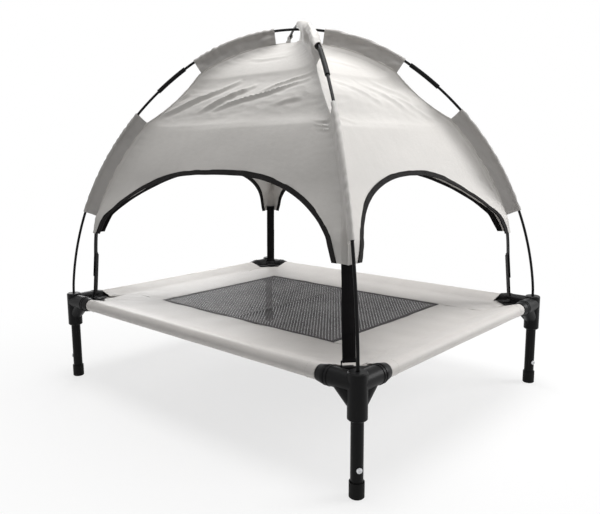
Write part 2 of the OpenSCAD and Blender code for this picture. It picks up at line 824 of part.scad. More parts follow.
// Tape bound along a doorway, level with the cloth that it closes.
module edge_tape(j) {
    corners = 4;
    sections = [for (phi = ARCH_PHI)
        [for (q = [[seam_clear, -tape_rise], [tape_w, -tape_rise],
                   [tape_w, panel_t + tape_rise], [seam_clear, panel_t + tape_rise]])
            panel_at(j, arch_u(j, phi, q[0]), arch_l(j, phi, q[0]), q[1])]];
    end = (len(sections) - 1) * corners;
    faces = [
        for (n = [0 : len(sections) - 2], q = [0 : corners - 1])
            let (a = n * corners + q, b = n * corners + (q + 1) % corners) each [
                [a, a + corners, b + corners],
                [a, b + corners, b]
            ],
        [0, 1, 2], [0, 2, 3],
        [end, end + 2, end + 1], [end, end + 3, end + 2]
    ];
    color(BLACK)
        polyhedron([for (s = sections) each s], faces);
}

for (i = [0 : 3]) {
    corner_fitting(i);
    leg_tube(i);
    foot(i);
    foot_screw(i);
    pole_leg(i);
    upper_sleeve(i);
    lower_sleeve(i);
    strap(i);
}
for (j = [0 : 3]) {
    rail(j);
    canopy_panel(j);
    edge_tape(j);
}
long_cover(0);  // cover_front
end_cover(1);  // cover_right
long_cover(2);  // cover_back
end_cover(3);  // cover_left
mesh_centre();
corner_bands();
anchor_tabs();
strap_rings();
strap_loops();
pole_crown(0);  // pole_crown_lower
pole_crown(1);  // pole_crown_upper
ferrules();
pole_tips();
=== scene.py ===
"""Raised pet cot with a domed canopy: the looks of every piece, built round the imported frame."""

import math

import bmesh
import bpy
import numpy as np
from bpy.props import FloatProperty, FloatVectorProperty, PointerProperty
from mathutils import Matrix, Vector


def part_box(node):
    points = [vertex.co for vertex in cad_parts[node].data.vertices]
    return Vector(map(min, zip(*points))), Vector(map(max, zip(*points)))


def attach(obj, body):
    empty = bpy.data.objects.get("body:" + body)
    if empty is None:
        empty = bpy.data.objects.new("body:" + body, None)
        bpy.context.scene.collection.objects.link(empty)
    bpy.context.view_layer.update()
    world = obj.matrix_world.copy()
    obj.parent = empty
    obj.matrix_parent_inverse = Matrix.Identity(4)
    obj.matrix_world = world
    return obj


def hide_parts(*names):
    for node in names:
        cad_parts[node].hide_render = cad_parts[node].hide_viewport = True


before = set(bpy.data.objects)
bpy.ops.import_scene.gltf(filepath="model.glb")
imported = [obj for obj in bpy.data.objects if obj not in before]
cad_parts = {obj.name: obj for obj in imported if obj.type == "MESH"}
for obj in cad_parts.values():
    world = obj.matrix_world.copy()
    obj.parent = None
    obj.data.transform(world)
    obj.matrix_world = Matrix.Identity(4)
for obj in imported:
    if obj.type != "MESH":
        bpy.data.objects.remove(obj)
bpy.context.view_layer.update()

bl_info = {
    "name": "Raised Pet Cot",
    "version": (1, 0, 0),
    "blender": (4, 5, 0),
    "location": "View3D > Sidebar > Cot",
    "description": "Dresses the frame of a raised pet cot with cloth, webbing, finishes and a studio",
    "category": "Object",
}

CORNERS = ("front_left", "front_right", "back_right", "back_left")
CORNER_SIGNS = np.array([[-1, -1], [1, -1], [1, 1], [-1, 1]])
SIDES = ("front", "right", "back", "left")
SIDE_OUT = np.array([[0, -1, 0], [1, 0, 0], [0, 1, 0], [-1, 0, 0]], float)
UP = np.array([0.0, 0.0, 1.0])
WHITE = (1, 1, 1, 1)
PHOTO_W, PHOTO_H = 600, 514


def middle(node):
    """Centre of a CAD node's box."""
    low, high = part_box(node)
    return (np.array(low) + np.array(high)) / 2


# Places taken from the frame, in metres.
LEGS = np.array([middle("leg_" + corner)[:2] for corner in CORNERS])
HALF_X, HALF_Y = np.abs(LEGS).mean(axis=0)
HALF_DIAG = math.hypot(HALF_X, HALF_Y)
DIAG = CORNER_SIGNS * (HALF_X, HALF_Y) / HALF_DIAG
POST_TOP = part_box("corner_front_left")[1].z
RAIL_Z = middle("rail_front")[2]
COVER_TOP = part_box("mesh_centre")[1].z
BAND_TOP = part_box("corner_bands")[1].z
CROWN_TOP = [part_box(node)[1].z for node in ("pole_crown_lower", "pole_crown_upper")]


def srgb(red, green, blue):
    """Linear colour from sRGB values out of 255."""
    def channel(value):
        value /= 255
        return value / 12.92 if value <= 0.04045 else ((value + 0.055) / 1.055) ** 2.4
    return tuple(channel(value) for value in (red, green, blue))


def length(label, about, default):
    """A size in metres that a user may change."""
    return FloatProperty(name=label, description=about, default=default, min=0, precision=4, unit="LENGTH")


def angle(label, about, degrees):
    """An angle that a user may change."""
    return FloatProperty(name=label, description=about, default=math.radians(degrees), unit="ROTATION")


def power(label, about, watts):
    """The power of a lamp that a user may change."""
    return FloatProperty(name=label, description=about, default=watts, unit="POWER")


def colour(label, about, default):
    """A colour that a user may change."""
    return FloatVectorProperty(name=label, description=about, default=default, size=3, min=0, max=1,
                               subtype="COLOR")


class CanopySizes(bpy.types.PropertyGroup):
    """Sizes of the canopy's poles and cloth."""

    pole_d: length("Pole", "Diameter of a pole", 0.006)
    root_r: length("Root bend", "Radius of the bend just above a post", 0.300)
    root_turn: angle("Root turn", "Turn of the bend just above a post", 6)
    crown_turn: angle("Crown turn", "Slope of the pole's radius at the end of the crown arc", 56)
    ferrule_from: length("Ferrule start", "Distance from the crown arc's end to a ferrule", 0.012)
    ferrule_len: length("Ferrule", "Length of a ferrule", 0.083)
    upper_pole_shift: length("Upper pole shift", "Extra distance to the upper pole's ferrules and sleeves",
                             0.020)
    upper_from: length("Upper sleeve start", "Distance from the crown to the upper sleeve", 0.050)
    upper_short: length("Upper sleeve end", "Distance from the upper sleeve to the crown arc's end", 0.010)
    lower_from: length("Lower sleeve start", "Distance from the crown arc's end to the lower sleeve", 0.169)
    lower_len: length("Lower sleeve", "Length of the lower sleeve along the pole", 0.275)
    tip_from: length("Corner tip", "Distance from the crown arc's end to the corner tips", 0.490)
    tip_clear: length("Tip clearance", "Least distance from a lower sleeve to the corner tip", 0.036)
    tip_in: length("Tip inset", "Extra distance of a corner tip from the pole", 0.006)
    flap_w: length("Flap", "Distance from the pole's axis to the ridge", 0.030)
    ridge_dip: length("Ridge dip", "Extra dip of the ridge between the sleeves", 0.014)
    cloth_t: length("Cloth", "Thickness of the panels", 0.0010)
    sag: length("Sag", "Sag of a panel between its ridges", 0.001)
    flare: length("Flare", "Rise of a panel where it runs out into a flap", 0.020)
    flare_run: length("Flare run", "Distance over which a panel runs out into a flap", 0.018)
    arch_h: length("Doorway", "Height of the arched doorways along the panel", 0.186)
    tip_half_w: length("Tip width", "Width of the cloth beside a doorway at each corner tip", 0.020)
    tape_w: length("Tape", "Width of the tape along the doorways", 0.012)


class BedSizes(bpy.types.PropertyGroup):
    """Sizes of the bed's cover and mesh."""

    mesh_x: length("Mesh length", "Length of the mesh centre", 0.550)
    mesh_y: length("Mesh width", "Width of the mesh centre", 0.414)
    hole_x: length("Hole pitch along", "Distance between mesh holes along the bed", 0.0080)
    hole_y: length("Hole pitch across", "Distance between mesh holes across the bed", 0.0102)
    hem_w: length("Mesh hem", "Width of the plain hem round the mesh", 0.011)
    crease: length("Crease", "Height of the packing crease across the mesh", 0.0022)
    strand_w: length("Strand", "Width of a strand of the mesh", 0.00475)
    cover_t: length("Cover", "Thickness of the cover's cloth", 0.0014)
    sleeve_r: length("Rail sleeve", "Outside radius of the cover over a rail", 0.0133)
    seam: length("Sleeve seam", "Distance from a rail's axis to the seam of its sleeve", 0.046)
    sleeve_end: length("Sleeve end", "Distance from a leg's axis to the end of the rail sleeve", 0.080)
    sag: length("Bed sag", "Sag of the mesh at the middle of the bed", 0.0025)


class StrapSizes(bpy.types.PropertyGroup):
    """Sizes of the webbing."""

    width: length("Strap", "Width of the straps", 0.023)
    thick: length("Strap thickness", "Thickness of the straps", 0.0015)
    tuck: length("Tuck", "Lap of the strap under the corner tip", 0.015)
    loop_len: length("Lower strap", "Length of the lower strap from its ring", 0.103)
    lap: length("Lap", "Lap of the upper strap on the lower strap", 0.056)
    ring_wire: length("Ring wire", "Thickness of the strap ring's wire", 0.0026)
    ring_pitch: length("Ring pitch", "Distance between the two bars of a strap ring", 0.0126)
    band_w: length("Corner band", "Width of the band across each corner", 0.021)
    band_t: length("Band thickness", "Thickness of the corner bands", 0.002)


class FinishColours(bpy.types.PropertyGroup):
    """Colours of the finishes."""

    canopy: colour("Canopy", "Coated canopy cloth", srgb(206, 203, 199))
    # Painted shade: the sleeves are the same cloth as the panels, darkened here for the shade on their
    # upright flaps.
    sleeve: colour("Pole sleeves", "Doubled cloth of the pole sleeves", srgb(172, 169, 166))
    cover: colour("Bed cover", "Heavy cover cloth", srgb(208, 204, 200))
    mesh: colour("Mesh", "Open mesh of the bed", srgb(62, 59, 60))
    webbing: colour("Webbing", "Straps, bands and tabs", srgb(13, 12, 13))
    tape: colour("Tape", "Binding of the doorways", srgb(20, 18, 18))
    plastic: colour("Plastic", "Moulded corner fittings and rings", srgb(14, 14, 15))
    steel: colour("Coated steel", "Powder coat of the tubes", srgb(13, 13, 14))
    bright: colour("Bright steel", "Plated screws and pole tips", srgb(205, 206, 208))
    rubber: colour("Rubber", "Feet", srgb(14, 14, 14))
    rod: colour("Rod", "Canopy poles", srgb(12, 12, 13))
    thread: colour("Thread", "Sewing thread on the pale cloth", srgb(176, 173, 169))


class StageLook(bpy.types.PropertyGroup):
    """Camera and light."""

    eye: FloatVectorProperty(name="Eye", description="Place of the camera", size=3, subtype="TRANSLATION",
                             default=(1.0151, -1.1535, 0.5654))
    heading: angle("Heading", "Turn of the camera from +Y towards +X", -43.02)
    pitch: angle("Pitch", "Tilt of the camera above the horizon", -9.03)
    roll: angle("Roll", "Roll of the camera", -0.57)
    focal_px: FloatProperty(name="Focal length", description="Focal length in pixels of the photo's frame",
                            default=637.7)
    centre_px: FloatVectorProperty(name="Centre", description="Principal point in the photo's frame", size=2,
                                   default=(278.8, 252.1))
    top: power("Top", "Power of the overhead softbox", 46)
    key: power("Key", "Power of the key softbox", 33)
    fill: power("Fill", "Power of the fill softbox", 1.8)
    side: power("Side", "Power of the softbox behind on the left", 16)
    lift: FloatProperty(name="Floor lift", default=0.72, subtype="FACTOR",
                        description="Least share of white in the floor that the camera sees")
    ambient: FloatProperty(name="Ambient", description="Strength of the studio's own light", default=0.10)
    floor: colour("Floor", "Pale studio floor", srgb(246, 246, 246))


def sizes(group):
    """One of the scene's property groups: canopy, bed, strap, colours or stage."""
    return getattr(bpy.context.scene, "cot_" + group)


# Shader expressions

class Shade:
    """A socket in a shader expression: arithmetic on it adds Math nodes."""

    def __init__(self, finish, socket):
        self.finish = finish
        self.socket = socket

    def math(self, operation, first, second):
        """A Math node on two values or sockets."""
        return self.finish.node("ShaderNodeMath", {"operation": operation}, {0: first, 1: second})

    def __add__(self, other):
        return self.math("ADD", self, other)

    __radd__ = __add__

    def __sub__(self, other):
        return self.math("SUBTRACT", self, other)

    def __rsub__(self, other):
        return self.math("SUBTRACT", other, self)

    def __mul__(self, other):
        return self.math("MULTIPLY", self, other)

    __rmul__ = __mul__


class Finish:
    """A node tree under construction."""

    def __init__(self, tree):
        self.tree = tree

    def node(self, kind, settings=None, inputs=None, output=0):
        """Adds a node: its settings first, then the values or links of its sockets."""
        made = self.tree.nodes.new(kind)
        for key, value in (settings or {}).items():
            setattr(made, key, value)
        for key, value in (inputs or {}).items():
            if isinstance(value, Shade):
                self.tree.links.new(value.socket, made.inputs[key])
            else:
                made.inputs[key].default_value = value
        return Shade(self, made.outputs[output]) if made.outputs else None

    def ramp(self, value, low, high):
        """0 below low and 1 above high, smoothly between."""
        return self.node("ShaderNodeMapRange", {"interpolation_type": "SMOOTHSTEP"},
                         {"Value": value, "From Min": low, "From Max": high})

    def mix(self, factor, first, second):
        """A mix of two colours."""
        first, second = [c if isinstance(c, Shade) else (*c, 1) for c in (first, second)]
        return self.node("ShaderNodeMix", {"data_type": "RGBA"}, {0: factor, 6: first, 7: second}, 2)

    def place(self):
        """Where a point lies on its piece, in metres."""
        return self.node("ShaderNodeTexCoord", output="Object")

    def cloth(self):
        """Where a point lies on its flat cloth, in metres."""
        return self.node("ShaderNodeUVMap", {"uv_map": "cloth"})

    def noise(self, where, scale, detail=3.0, rough=0.55):
        """Cloudy noise about 0.5."""
        return self.node("ShaderNodeTexNoise", None,
                         {"Vector": where, "Scale": scale, "Detail": detail, "Roughness": rough})

    def stretched(self, where, factors):
        """Places scaled along each axis."""
        return self.node("ShaderNodeVectorMath", {"operation": "MULTIPLY"}, {0: where, 1: factors})

    def threads(self, where, pitch, direction):
        """Rows of thread, pitch metres apart along X or Y."""
        turns_per_metre = 20 / (2 * math.pi)
        return self.node("ShaderNodeTexWave", {"bands_direction": direction},
                         {"Vector": where, "Scale": 1 / (pitch * turns_per_metre)}, "Fac")


class Surface(Finish):
    """A material with one Principled surface."""

    def __init__(self, name, constants):
        self.material = bpy.data.materials.new(name + "_finish")
        self.material.use_nodes = True
        super().__init__(self.material.node_tree)
        self.shader = self.tree.nodes["Principled BSDF"]
        for key, value in constants.items():
            self.shader.inputs[key].default_value = value

    def feed(self, socket, value):
        """Links a value to a socket of the surface."""
        self.tree.links.new(value.socket, self.shader.inputs[socket])

    def finish(self, base, rough, height, strength):
        """Feeds the surface's colour, roughness and bump in metres, and returns its material."""
        self.feed("Base Color", base)
        self.feed("Roughness", rough)
        self.feed("Normal", self.node("ShaderNodeBump", None,
                                      {"Height": height, "Distance": 1.0, "Strength": strength}))
        return self.material


def scaled(shade, factor):
    """A colour made lighter or darker."""
    return tuple(min(1.0, channel * factor) for channel in shade)


def woven_cloth(name, shade, pitch, weave_depth, rough, mottle):
    """Plain-woven coated cloth: thread bump, soft mottling and faint rubbed streaks."""
    made = Surface(name, {"Sheen Weight": 0.08, "Sheen Roughness": 0.4})
    flat = made.cloth()
    warp = made.threads(flat, pitch, "X")
    weft = made.threads(flat, pitch, "Y")
    cloud = made.noise(flat, 9, 4)
    streak = made.noise(made.stretched(flat, (60, 9, 1)), 1, 3)
    tone = made.ramp(cloud * 0.7 + streak * 0.3, 0.3, 0.7)
    body = made.mix(tone, scaled(shade, 1 - mottle), scaled(shade, 1 + mottle / 2))
    base = made.mix(warp * weft * 0.5, body, scaled(shade, 0.86))
    crumple = made.noise(flat, 70, 4, 0.6)
    height = (warp + weft) * weave_depth + crumple * 0.0009
    return made.finish(base, rough - 0.08 + cloud * 0.16, height, 0.6)


def ribbed_webbing(name, shade, rib, rough, gloss=0.08):
    """Woven webbing: ribs across, a herringbone hint and paler rubbed fibres."""
    made = Surface(name, {"Specular IOR Level": gloss, "Sheen Weight": 0.02, "Sheen Roughness": 0.4})
    flat = made.cloth()
    across = made.threads(flat, rib, "Y")
    along = made.threads(flat, rib * 1.6, "X")
    fuzz = made.noise(flat, 900, 3)
    worn = made.ramp(made.noise(flat, 40, 3) * fuzz, 0.22, 0.42)
    body = made.mix(across * along, scaled(shade, 0.7), scaled(shade, 1.5))
    base = made.mix(worn * 0.35, body, scaled(shade, 3.2))
    height = (across + along * 0.6) * 0.00035 + fuzz * 0.0002
    return made.finish(base, rough - 0.1 + fuzz * 0.2, height, 0.8)


def mesh_yarn(name, shade, pitch):
    """Coated mesh yarn: glossier where a strand crosses over another, and paler there with a painted
    highlight.
    """
    made = Surface(name, {"Specular IOR Level": 0.08})
    flat = made.cloth()
    over = made.ramp(made.threads(flat, pitch, "Y"), 0.35, 0.95)
    fibre = made.noise(made.stretched(flat, (2400, 260, 1)), 1, 3)
    cloud = made.noise(made.place(), 14, 3)
    # Painted highlight: the crossings are made paler, as if they caught the light.
    body = made.mix(over * 0.75 + fibre * 0.25, scaled(shade, 0.5), scaled(shade, 2.2))
    base = made.mix(made.ramp(cloud, 0.35, 0.7), scaled(shade, 0.8), body)
    return made.finish(base, 0.6 - over * 0.2, fibre * 0.0002, 0.7)


def moulded_black(name, shade, rough, grain, scuff):
    """Moulded plastic or rubber: fine grain, a few scuffs and dull patches."""
    made = Surface(name, {"Specular IOR Level": 0.12})
    where = made.place()
    skin = made.noise(where, grain, 2)
    patch = made.noise(where, 22, 4)
    rubbed = made.ramp(made.noise(made.stretched(where, (40, 40, 260)), 1, 4), 0.62, 0.78)
    body = made.mix(patch, scaled(shade, 0.8), scaled(shade, 1.3))
    base = made.mix(rubbed * scuff, body, scaled(shade, 4))
    height = skin * 0.0002 + patch * 0.0006
    return made.finish(base, rough - 0.1 + patch * 0.16 + rubbed * 0.12, height, 0.5)


def coated_tube(name, shade, rough, coat):
    """Painted tube or drawn rod: a smooth coat with faint streaks along it and a slight orange peel."""
    made = Surface(name, {"Specular IOR Level": 0.10, "Coat Weight": coat, "Coat Roughness": 0.2})
    where = made.place()
    peel = made.noise(where, 420, 2)
    streak = made.noise(made.stretched(where, (300, 300, 12)), 1, 3)
    chip = made.ramp(made.noise(where, 130, 5), 0.72, 0.78)
    body = made.mix(streak, scaled(shade, 0.85), scaled(shade, 1.25))
    base = made.mix(chip * 0.4, body, scaled(shade, 3.5))
    return made.finish(base, rough + streak * 0.12, peel * 0.00012, 0.6)


def plated_steel(name, shade):
    """Bright plating with fine machining lines and small stains."""
    made = Surface(name, {"Metallic": 1.0})
    where = made.place()
    stain = made.noise(where, 260, 4)
    lines = made.noise(made.stretched(where, (2600, 2600, 500)), 1, 2)
    base = made.mix(made.ramp(stain, 0.45, 0.75), shade, scaled(shade, 0.62))
    return made.finish(base, 0.2 + stain * 0.2 + lines * 0.1, lines * 0.00005, 0.4)


FINISHES = {}


def finishes():
    """All the object's materials by finish, made once."""
    if FINISHES:
        return FINISHES
    shades = sizes("colours")
    for made in (
            # Thread pitch, weave depth, roughness and mottling.
            woven_cloth("canopy_cloth", shades.canopy, 0.0009, 0.00006, 0.5, 0.05),
            # The sleeve cloth is the canopy's cloth with painted shade.
            woven_cloth("sleeve_cloth", shades.sleeve, 0.0009, 0.00006, 0.55, 0.06),
            woven_cloth("cover_cloth", shades.cover, 0.0014, 0.0001, 0.5, 0.06),
            woven_cloth("thread", shades.thread, 0.0006, 0.0001, 0.6, 0.05),
            mesh_yarn("mesh_yarn", shades.mesh, math.hypot(sizes("bed").hole_x, sizes("bed").hole_y)),
            # Rib pitch, roughness and gloss.
            ribbed_webbing("mesh_hem", shades.mesh, 0.0016, 0.6),
            ribbed_webbing("webbing", shades.webbing, 0.0018, 0.62),
            ribbed_webbing("edge_tape", shades.tape, 0.0014, 0.42, 0.07),
            # Roughness, scale of the grain and share of scuffs.
            moulded_black("fitting_plastic", shades.plastic, 0.42, 900, 0.18),
            moulded_black("foot_rubber", shades.rubber, 0.6, 700, 0.3),
            moulded_black("ring_plastic", shades.plastic, 0.36, 1500, 0.12),
            # Roughness and clear coat.
            coated_tube("tube_steel", shades.steel, 0.34, 0.03),
            coated_tube("pole_rod", shades.rod, 0.36, 0.04),
            coated_tube("ferrule_steel", shades.steel, 0.45, 0.03),
            plated_steel("bright_steel", shades.bright)):
        FINISHES[made.name.removesuffix("_finish")] = made
    return FINISHES


# Mesh helpers

def unit(vectors):
    """Vectors at length one; a zero vector stays zero."""
    size = np.linalg.norm(vectors, axis=-1, keepdims=True)
    return vectors / np.maximum(size, 1e-12)


def ease(value):
    """A smooth step from 0 at 0 to 1 at 1."""
    value = np.clip(value, 0, 1)
    return value * value * (3 - 2 * value)


def share(value, low, high):
    """How far a value lies between two others, from 0 to 1."""
    return np.clip((value - low) / (high - low), 0, 1)


def ripples(x, y, wavelength, count, seed):
    """Smooth uneven waves of height about one over a surface."""
    draw = np.random.default_rng(seed)
    total = 0
    for _ in range(count):
        heading, phase = draw.uniform(0, math.tau, 2)
        step = wavelength * draw.uniform(0.65, 1.5)
        total = total + np.sin((x * math.cos(heading) + y * math.sin(heading)) * math.tau / step + phase)
    return total / math.sqrt(count)


def waves(kind, x, y, seed):
    """Uneven waves of a kind: height, wavelength and number of waves."""
    height, wavelength, count = kind
    return height * ripples(x, y, wavelength, count, seed)


def run_lengths(path):
    """Distance along a path at each of its points."""
    return np.concatenate([[0], np.cumsum(np.linalg.norm(np.diff(path, axis=0), axis=1))])


def bent(centre, radius, start, stop, count):
    """Points of an arc in two coordinates, angles in degrees."""
    turn = np.radians(np.linspace(start, stop, count))
    return np.stack([centre[0] + radius * np.cos(turn), centre[1] + radius * np.sin(turn)], axis=-1)


def quarter_turned(count, x, y):
    """Places in plan after a number of quarter turns about the origin."""
    turn = math.radians(90 * count)
    return x * math.cos(turn) - y * math.sin(turn), x * math.sin(turn) + y * math.cos(turn)


def spread(count):
    """Even steps over a half turn, from -90 to 90 degrees."""
    return np.linspace(-math.pi / 2, math.pi / 2, count)


def grid_quads(rows, cols, start=0):
    """Quads of a grid whose points are numbered row by row."""
    index = start + np.arange(rows * cols).reshape(rows, cols)
    corners = index[:-1, :-1], index[1:, :-1], index[1:, 1:], index[:-1, 1:]
    return np.stack(corners, axis=-1).reshape(-1, 4)


def sheet_solid(outer, inner):
    """Points and faces of a closed sheet of cloth from its two grids."""
    rows, cols = outer.shape[:2]
    count = rows * cols
    index = np.arange(count).reshape(rows, cols)
    rim = np.concatenate([index[0, :-1], index[:-1, -1], index[-1, :0:-1], index[:0:-1, 0]])
    ahead = np.roll(rim, -1)
    band = np.stack([rim, ahead, ahead + count, rim + count], axis=-1)
    faces = np.concatenate([grid_quads(rows, cols), grid_quads(rows, cols, count)[:, ::-1], band])
    return np.concatenate([outer.reshape(-1, 3), inner.reshape(-1, 3)]), faces.tolist()


def sweep(sections, folded=False):
    """Points and faces of a closed sweep through equal sections.

    Each section of a folded sweep is a line run out and back.
    """
    count, size = sections.shape[:2]
    index = np.arange(count * size).reshape(count, size)
    wrapped = np.concatenate([index, index[:, :1]], axis=1)
    quads = np.stack([wrapped[:-1, :-1], wrapped[1:, :-1], wrapped[1:, 1:], wrapped[:-1, 1:]], axis=-1)
    faces = quads.reshape(-1, 4).tolist()
    for ring in (index[0], index[-1]):
        if folded:
            half = size // 2
            faces += [[ring[i], ring[i + 1], ring[size - 2 - i], ring[size - 1 - i]] for i in range(half - 1)]
        else:
            faces.append(ring.tolist())
    return sections.reshape(-1, 3), faces


def sweep_uv(sections, ring_lengths):
    """Flat cloth coordinates of a sweep: round the section and along the run."""
    run = run_lengths(sections.mean(axis=1))
    return np.stack(np.meshgrid(ring_lengths, run), axis=-1).reshape(-1, 2)


def join_meshes(parts):
    """One list of points, faces and cloth coordinates from several."""
    points, faces, flats, start = [], [], [], 0
    for part_points, part_faces, part_flat in parts:
        points.append(part_points)
        flats.append(part_flat)
        faces += [[start + v for v in face] for face in part_faces]
        start += len(part_points)
    return np.concatenate(points), faces, np.concatenate(flats)


def add_object(name, data):
    """A new object in the scene."""
    made = bpy.data.objects.new(name, data)
    bpy.context.scene.collection.objects.link(made)
    return made


def smooth(mesh, crease):
    """Smooth shading with sharp edges above an angle in degrees."""
    mesh.shade_smooth()
    mesh.set_sharp_from_angle(angle=math.radians(crease))


def make_piece(name, points, faces, flat, finish, slot, body, replaces=(), crease=40):
    """A finished mesh object that rides on a body."""
    same_point = 2e-6
    mesh = bpy.data.meshes.new(name)
    mesh.from_pydata(np.asarray(points).tolist(), [], faces)
    layer = mesh.uv_layers.new(name="cloth")
    loops = np.empty(len(mesh.loops), int)
    mesh.loops.foreach_get("vertex_index", loops)
    layer.data.foreach_set("uv", np.asarray(flat, np.float32)[loops].ravel())
    work = bmesh.new()
    work.from_mesh(mesh)
    bmesh.ops.remove_doubles(work, verts=work.verts, dist=same_point)
    bmesh.ops.recalc_face_normals(work, faces=work.faces)
    work.to_mesh(mesh)
    work.free()
    smooth(mesh, crease)
    mesh.materials.append(finishes()[finish])
    piece = add_object(name, mesh)
    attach(piece, body)
    if replaces:
        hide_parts(*replaces)
    return piece


def swept(path, first, second, outline, ring_lengths):
    """A sweep of one outline along a path, laid out along two directions at each point."""
    sections = path[:, None] + outline[:, :1] * first[:, None] + outline[:, 1:] * second[:, None]
    return *sweep(sections), sweep_uv(sections, ring_lengths)


def tube(path, out, radius, sides=16):
    """A round tube along a path; out is any direction across the path at each point."""
    ahead = unit(np.gradient(path, axis=0))
    side = unit(np.cross(ahead, out))
    radius = np.broadcast_to(np.asarray(radius, float), len(path))[:, None]
    ring = bent((0, 0), 1, 0, 360, sides + 1)[:-1]
    lengths = np.linspace(0, math.tau * radius.max(), sides)
    return swept(path, radius * np.cross(side, ahead), radius * side, ring, lengths)


def mirror_closed(upper, *ends):
    """An outline that runs along its upper points, round any end points and back along their mirror image."""
    return np.array([*upper, *ends, *[(x, -z) for x, z in reversed(upper)]])


def ribbon(path, side, width, thick):
    """A flat woven strap along a path, with rounded selvedges; side points across its width."""
    edge = 0.5 - 0.45 * thick / width
    outline = mirror_closed([(-0.5, 0.3), (-edge, 0.5), (0, 0.5), (edge, 0.5), (0.5, 0.3)])
    side = np.broadcast_to(side, path.shape)
    face = unit(np.cross(np.gradient(path, axis=0), side))
    return swept(path, width * side, thick * face, outline, outline[:, 0] * width)


# One stitch: points along it, across it and out of the cloth, as shares of its size.
STITCH = np.array([[-0.5, 0, -0.3], [-0.3, -0.5, 0.1], [-0.3, 0.5, 0.1], [-0.25, 0, 0.5],
                   [0.25, 0, 0.5], [0.3, -0.5, 0.1], [0.3, 0.5, 0.1], [0.5, 0, -0.3]])
STITCH_FACES = ((0, 1, 3), (0, 3, 2), (1, 5, 4, 3), (3, 4, 6, 2), (5, 7, 4), (4, 7, 6), (0, 2, 6, 7),
                (0, 7, 5, 1))


def stitch_run(path, face, pitch=0.0042, size=0.0030, wide=0.0007):
    """A row of stitches along a path; face points out of the cloth."""
    run = run_lengths(path)
    centres = np.arange(pitch / 2, run[-1], pitch)
    at, out, ahead = [
        np.stack([np.interp(centres, run, values[:, axis]) for axis in range(3)], axis=-1)
        for values in (path, face, np.gradient(path, run, axis=0))]
    out, ahead = unit(out), unit(ahead)
    axes = np.stack([size * ahead, wide * np.cross(out, ahead), wide * out], axis=1)
    points = (at[:, None] + STITCH @ axes).reshape(-1, 3)
    faces = [[len(STITCH) * n + v for v in corners] for n in range(len(at)) for corners in STITCH_FACES]
    return points, faces, np.tile(STITCH[:, :2] * size, (len(at), 1))


# Shape of the canopy

class PoleLine:
    """One canopy pole in its upright plane: a crown arc, a side arc and a root bend, all tangent."""

    def __init__(self, k, size):
        self.size = size
        self.root_turn, self.crown_turn, self.root_r = size.root_turn, size.crown_turn, size.root_r
        rise = CROWN_TOP[k] - size.pole_d / 2 - POST_TOP
        lean = np.array([math.cos(self.crown_turn), math.sin(self.crown_turn)])
        root = np.array([math.cos(self.root_turn), math.sin(self.root_turn)])
        # The runs of the crown and side arcs add up to what the root bend leaves, and so do their drops.
        self.crown_r, self.side_r = np.linalg.solve(
            [[lean[0], root[0] - lean[0]], [1 - lean[1], lean[1] - root[1]]],
            [HALF_DIAG - self.root_r * (1 - root[0]), rise - self.root_r * root[1]])
        crown_centre = np.array([0, POST_TOP + rise - self.crown_r])
        side_centre = crown_centre + (self.crown_r - self.side_r) * lean
        self.centres = np.array([crown_centre, side_centre, (HALF_DIAG - self.root_r, POST_TOP)])
        self.radii = np.array([self.crown_r, self.side_r, self.root_r])
        self.crown_l = self.crown_r * (math.pi / 2 - self.crown_turn)
        self.side_l = self.side_r * (self.crown_turn - self.root_turn)
        self.whole = self.crown_l + self.side_l + self.root_r * self.root_turn
        self.tip = self.crown_l + size.tip_from
        shift = k * size.upper_pole_shift
        self.ferrule_mid = self.crown_l + size.ferrule_from + shift + size.ferrule_len / 2
        self.upper = size.upper_from, self.crown_l - size.upper_short
        start = self.crown_l + size.lower_from + shift
        self.lower = start, min(start + size.lower_len, self.tip - size.tip_clear)
        self.upper_flap = size.flap_w + k * (CROWN_TOP[1] - CROWN_TOP[0])

    def by_arc(self, along, crown, side, root):
        """The value for the arc that each distance from the crown lies on."""
        upper = np.where(along <= self.crown_l, crown, side)
        return np.where(along <= self.crown_l + self.side_l, upper, root)

    def turn(self, along):
        """Way that the pole's radius points, at distances from the crown."""
        crown = math.pi / 2 - along / self.crown_r
        side = self.crown_turn - (along - self.crown_l) / self.side_r
        root = np.maximum(0, self.root_turn - (along - self.crown_l - self.side_l) / self.root_r)
        return self.by_arc(along, crown, side, root)

    def at(self, along, inward=0.0):
        """Reach and height at distances from the crown, moved inward along the radius."""
        along = np.asarray(along, float)
        turn = self.turn(along)
        arc = self.by_arc(along, 0, 1, 2)
        centre, radius = self.centres[arc], self.radii[arc] - inward
        return centre[..., 0] + radius * np.cos(turn), centre[..., 1] + radius * np.sin(turn)

    def ridge_in(self, along):
        """How far the canopy's ridge lies inside the pole."""
        size = self.size
        free = share(along, self.upper[1], self.lower[0])
        return (self.upper_flap + (size.flap_w - self.upper_flap) * ease(free)
                + size.ridge_dip * 4 * free * (1 - free)
                + size.tip_in * share(along, self.lower[1], self.tip))


def slant(j):
    """Shares of a corner's diagonal that lie along side j and across it."""
    return abs(DIAG[j][j % 2]), abs(DIAG[j][1 - j % 2])


